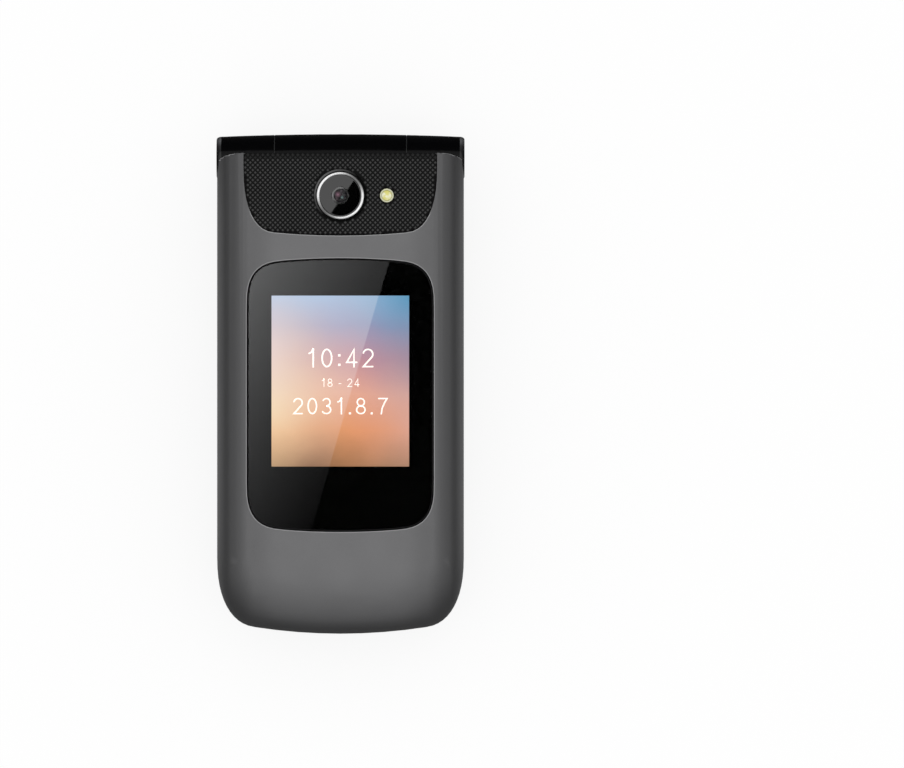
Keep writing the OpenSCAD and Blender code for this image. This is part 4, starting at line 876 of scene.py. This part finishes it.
# ---------- screws of the back ----------
def cross_screws(name, places, seat, replaces):
    """Pan heads with a cross recess, their shanks below, seen from the back."""
    arm, half, recess, taper = 0.78, 0.17, 0.45, 0.8
    head_h, top_r, head_r, shank_r, shank_end, segs = 0.8, 1.15, 1.4, 0.7, 1.5, 48
    top = seat + head_h
    cross = [(half, half), (half, arm), (-half, arm), (-half, half), (-arm, half), (-arm, -half), (-half, -half),
             (-half, -arm), (half, -arm), (half, -half), (arm, -half), (arm, half)]
    circle = [(math.cos(2 * math.pi * i / segs), math.sin(2 * math.pi * i / segs)) for i in range(segs)]
    bm = bmesh.new()
    for cx, cy in places:
        rv = [bm.verts.new(base_point(cx + top_r * x, cy + top_r * y, top)) for x, y in circle]
        cv = [bm.verts.new(base_point(cx + x, cy + y, top)) for x, y in cross]
        edges = [bm.edges.new((vs[i], vs[(i + 1) % len(vs)])) for vs in (rv, cv) for i in range(len(vs))]
        bmesh.ops.triangle_fill(bm, use_beauty=True, use_dissolve=False, edges=edges)
        low = [bm.verts.new(base_point(cx + x * taper, cy + y * taper, top - recess)) for x, y in cross]
        for i in range(12):
            bm.faces.new((cv[i], cv[(i + 1) % 12], low[(i + 1) % 12], low[i]))
        bm.faces.new(low)
        last = rv
        for r, d in ((1.32, top - 0.1), (head_r, top - 0.28), (head_r, seat), (shank_r, seat), (shank_r, shank_end)):
            nxt = [bm.verts.new(base_point(cx + x * r, cy + y * r, d)) for x, y in circle]
            for i in range(segs):
                bm.faces.new((last[i], last[(i + 1) % segs], nxt[(i + 1) % segs], nxt[i]))
            last = nxt
        bm.faces.new(last)
    bmesh.ops.recalc_face_normals(bm, faces=bm.faces)
    settle(new_object(name, mesh_from(bm, name), "base", DARK_STEEL, replaces), 30.0, weighted=False)


cross_screws("back_screws", [(s * x, y) for x, y in ((20.3, -28.0), (19.0, -90.0)) for s in (-1, 1)], BASE_T - 2.4,
             ["base_screws"])

# ---------- pieces inside, as the CAD has them ----------
for mat, nodes in ((WRAP, ("battery",)), (BOARD, ("main_board", "lid_board")),
                   (TRAY, ("outer_display", "inner_display")),
                   (GOLD, ("battery_contacts", "vibration_weight")), (COPPER, ("hinge_flex",)),
                   (MOULDED, ("loudspeaker", "antenna", "camera_module")), (DARK_STEEL, ("hinge_spring",)),
                   (STEEL, ("shield_cans", "sim_holder", "microphone", "vibration_motor", "dome_sheet", "hinge_case",
                            "hinge_shaft", "hinge_bush", "earpiece", "lid_screws"))):
    for node in nodes:
        paint_node(node, mat)


# ---------- studio ----------
def stage_mesh(name, verts, faces, mat, only_gloss=True):
    mesh = mesh_of(name, verts, faces)
    mesh.materials.append(mat)
    ob = bpy.data.objects.new(name, mesh)
    scene.collection.objects.link(ob)
    if only_gloss:
        ob.visible_camera = ob.visible_diffuse = ob.visible_shadow = ob.visible_volume_scatter = False


def seen_directly(n):
    """1 for camera, glossy and transmission rays."""
    p = n.add("LightPath")
    return n.math("MAXIMUM", n.math("MAXIMUM", p.outputs["Is Camera Ray"], p.outputs["Is Glossy Ray"]),
                  p.outputs["Is Transmission Ray"])


def floor_material():
    """White that takes the phone's shadow, most of it glowing where it is seen directly."""
    m, n = new_material("white_sweep")
    diffuse, glow, mix = n.add("BsdfDiffuse"), n.add("Emission"), n.add("MixShader")
    diffuse.inputs[0].default_value = (0.93, 0.93, 0.93, 1)
    glow.inputs[0].default_value = (1, 1, 1, 1)
    n.link(n.math("MULTIPLY", seen_directly(n), 0.85), mix.inputs[0])
    n.link(diffuse.outputs[0], mix.inputs[1])
    n.link(glow.outputs[0], mix.inputs[2])
    n.show(mix.outputs[0])
    m.cycles.emission_sampling = "NONE"
    return m


def light_material(name, strength=None):
    """Light alone, at the level that strength(nodes) gives the socket of; black without it."""
    m, n = new_material(name)
    glow = n.add("Emission")
    if strength:
        n.link(strength(n), glow.inputs["Strength"])
    else:
        glow.inputs["Strength"].default_value = 0.0
    n.show(glow.outputs[0])
    m.cycles.emission_sampling = "NONE"
    return m


def glow_material(name, *ramps):
    """Light whose level follows a product of ramps, each (axis, from, to, [(share, level), ...]) in millimetres."""
    def strength(n):
        level = None
        for axis, low, high, stops in ramps:
            top = max(v for p, v in stops)
            along = n.range(n.axis(axis), low * MM, high * MM, 0.0, 1.0)
            r = n.math("MULTIPLY", n.ramp(along, greys([(p, v / top) for p, v in stops])), top)
            level = n.math("MULTIPLY", level, r) if level else r
        return level

    return light_material(name, strength)


def plane_glow(name, at_zero, per_x, per_y, gain):
    """Light whose display level, out of 255, is given at the middle and changes evenly with each millimetre."""
    def strength(n):
        level = n.math("ADD", n.math("MULTIPLY", n.axis("X"), per_x / MM / 255),
                       n.math("MULTIPLY", n.axis("Y"), per_y / MM / 255))
        level = n.math("MAXIMUM", n.math("ADD", level, at_zero / 255), 0.0)
        light = n.math("POWER", n.math("DIVIDE", n.math("ADD", level, 0.055), 1.055), 2.4)
        return n.math("MULTIPLY", n.math("MAXIMUM", n.math("SUBTRACT", light, 0.0008), 0.0), gain)

    return light_material(name, strength)


QUAD = [(0, 1, 2, 3)]
FLOOR_REACH, FLOOR_Z = 3.0, -0.00004
stage_mesh("floor", [(x * FLOOR_REACH, y * FLOOR_REACH, FLOOR_Z) for x, y in ((-1, -1), (1, -1), (1, 1), (-1, 1))],
           QUAD, floor_material(), only_gloss=False)

world = bpy.data.worlds.new("studio")
scene.world = world
world.use_nodes = True
world.node_tree.nodes["Background"].inputs["Color"].default_value = (1, 1, 1, 1)
world.node_tree.nodes["Background"].inputs["Strength"].default_value = 1.0

# Dark studio wall and table round the phone, which only gloss sees: they give the rounded edges their dark band
WALL_R, WALL_LO, WALL_HI, TABLE_Z, WALL_SEGS = 450.0, 0.5, 530.0, 0.01, 48
ring = [(WALL_R * math.cos(2 * math.pi * i / WALL_SEGS), WALL_R * math.sin(2 * math.pi * i / WALL_SEGS))
        for i in range(WALL_SEGS)]
stage_mesh("studio_wall", [(x * MM, y * MM, z * MM) for z in (WALL_LO, WALL_HI) for x, y in ring],
           [(i, (i + 1) % WALL_SEGS, WALL_SEGS + (i + 1) % WALL_SEGS, WALL_SEGS + i) for i in range(WALL_SEGS)],
           glow_material("studio_wall",
                         ("Z", 0, WALL_HI, [(0.0, 0.05), (0.18, 0.05), (0.34, 0.09), (0.5, 0.22), (0.73, 0.42),
                                            (1.0, 0.72)]),
                         ("Y", -WALL_R, WALL_R, [(0.0, 1.3), (0.07, 1.25), (0.15, 0.6), (0.28, 0.8), (0.4, 0.95),
                                                 (0.6, 0.95), (0.85, 0.15), (1.0, 0.1)])))
stage_mesh("dark_table", [(x * MM, y * MM, TABLE_Z * MM) for x, y in ring], [tuple(range(WALL_SEGS))],
           glow_material("dark_table", ("Y", -150, 150, [(0.0, 0.08), (0.3, 0.12), (0.4, 0.42), (0.62, 0.42),
                                                         (0.7, 0.05), (1.0, 0.02)])))
# Slanted flag beyond the tip, which the tip's rounded end mirrors
FLAG_LO, FLAG_HI = 500, 620
stage_mesh("tip_flag", [(x * MM, y * MM, z * MM) for x, y, z in ((-250, -420, FLAG_LO), (250, -420, FLAG_LO),
                                                                 (250, -220, FLAG_HI), (-250, -220, FLAG_HI))], QUAD,
           glow_material("tip_flag", ("Z", FLAG_LO, FLAG_HI, [(0.0, 0.45), (1.0, 0.75)])))


def seen_in_glass(x, y, height, z=FACE_Z):
    """Where the point that the camera sees mirrored at (x, y) on level glass lies, that far above it."""
    k = height / (CAM_Z - z)
    return ((x + (x - CAM_X) * k) * MM, (HINGE_Y + y + (HINGE_Y + y - CAM_Y) * k) * MM, (z + height) * MM)


def card(name, height, corners, mat, z=FACE_Z):
    stage_mesh(name, [seen_in_glass(x, y, height, z) for x, y in corners], QUAD, mat)


# Black card above the glass, and under it the bright cards whose slanted edges show in the glass
card("black_card", 420, ((-21, -80), (21, -80), (21, 6), (-21, 6)), light_material("black_card"))
card("gloss_card", 400, ((-24, -84), (-7.1, -81.5), (10.9, -19.8), (-24, -19.8)),
     plane_glow("gloss_card", 30.4, -1.559, 1.004, 13.07))
card("lens_card", 400, ((-6, -13.2), (-3.05, -13.2), (4.78, -2.0), (-6, -2.0)),
     glow_material("lens_card", ("Y", 46, 66, [(0.0, 1.05), (1.0, 1.0)])), FACE_Z - LID_T + GLASS_D)

softbox_data = bpy.data.lights.new("top_softbox", "AREA")
softbox_data.shape = "RECTANGLE"
softbox_data.size, softbox_data.size_y = 0.7, 0.9
softbox_data.energy = 1.0
softbox = bpy.data.objects.new("top_softbox", softbox_data)
softbox.location = (0, 0.02, 1.5)
softbox.visible_camera = False
scene.collection.objects.link(softbox)
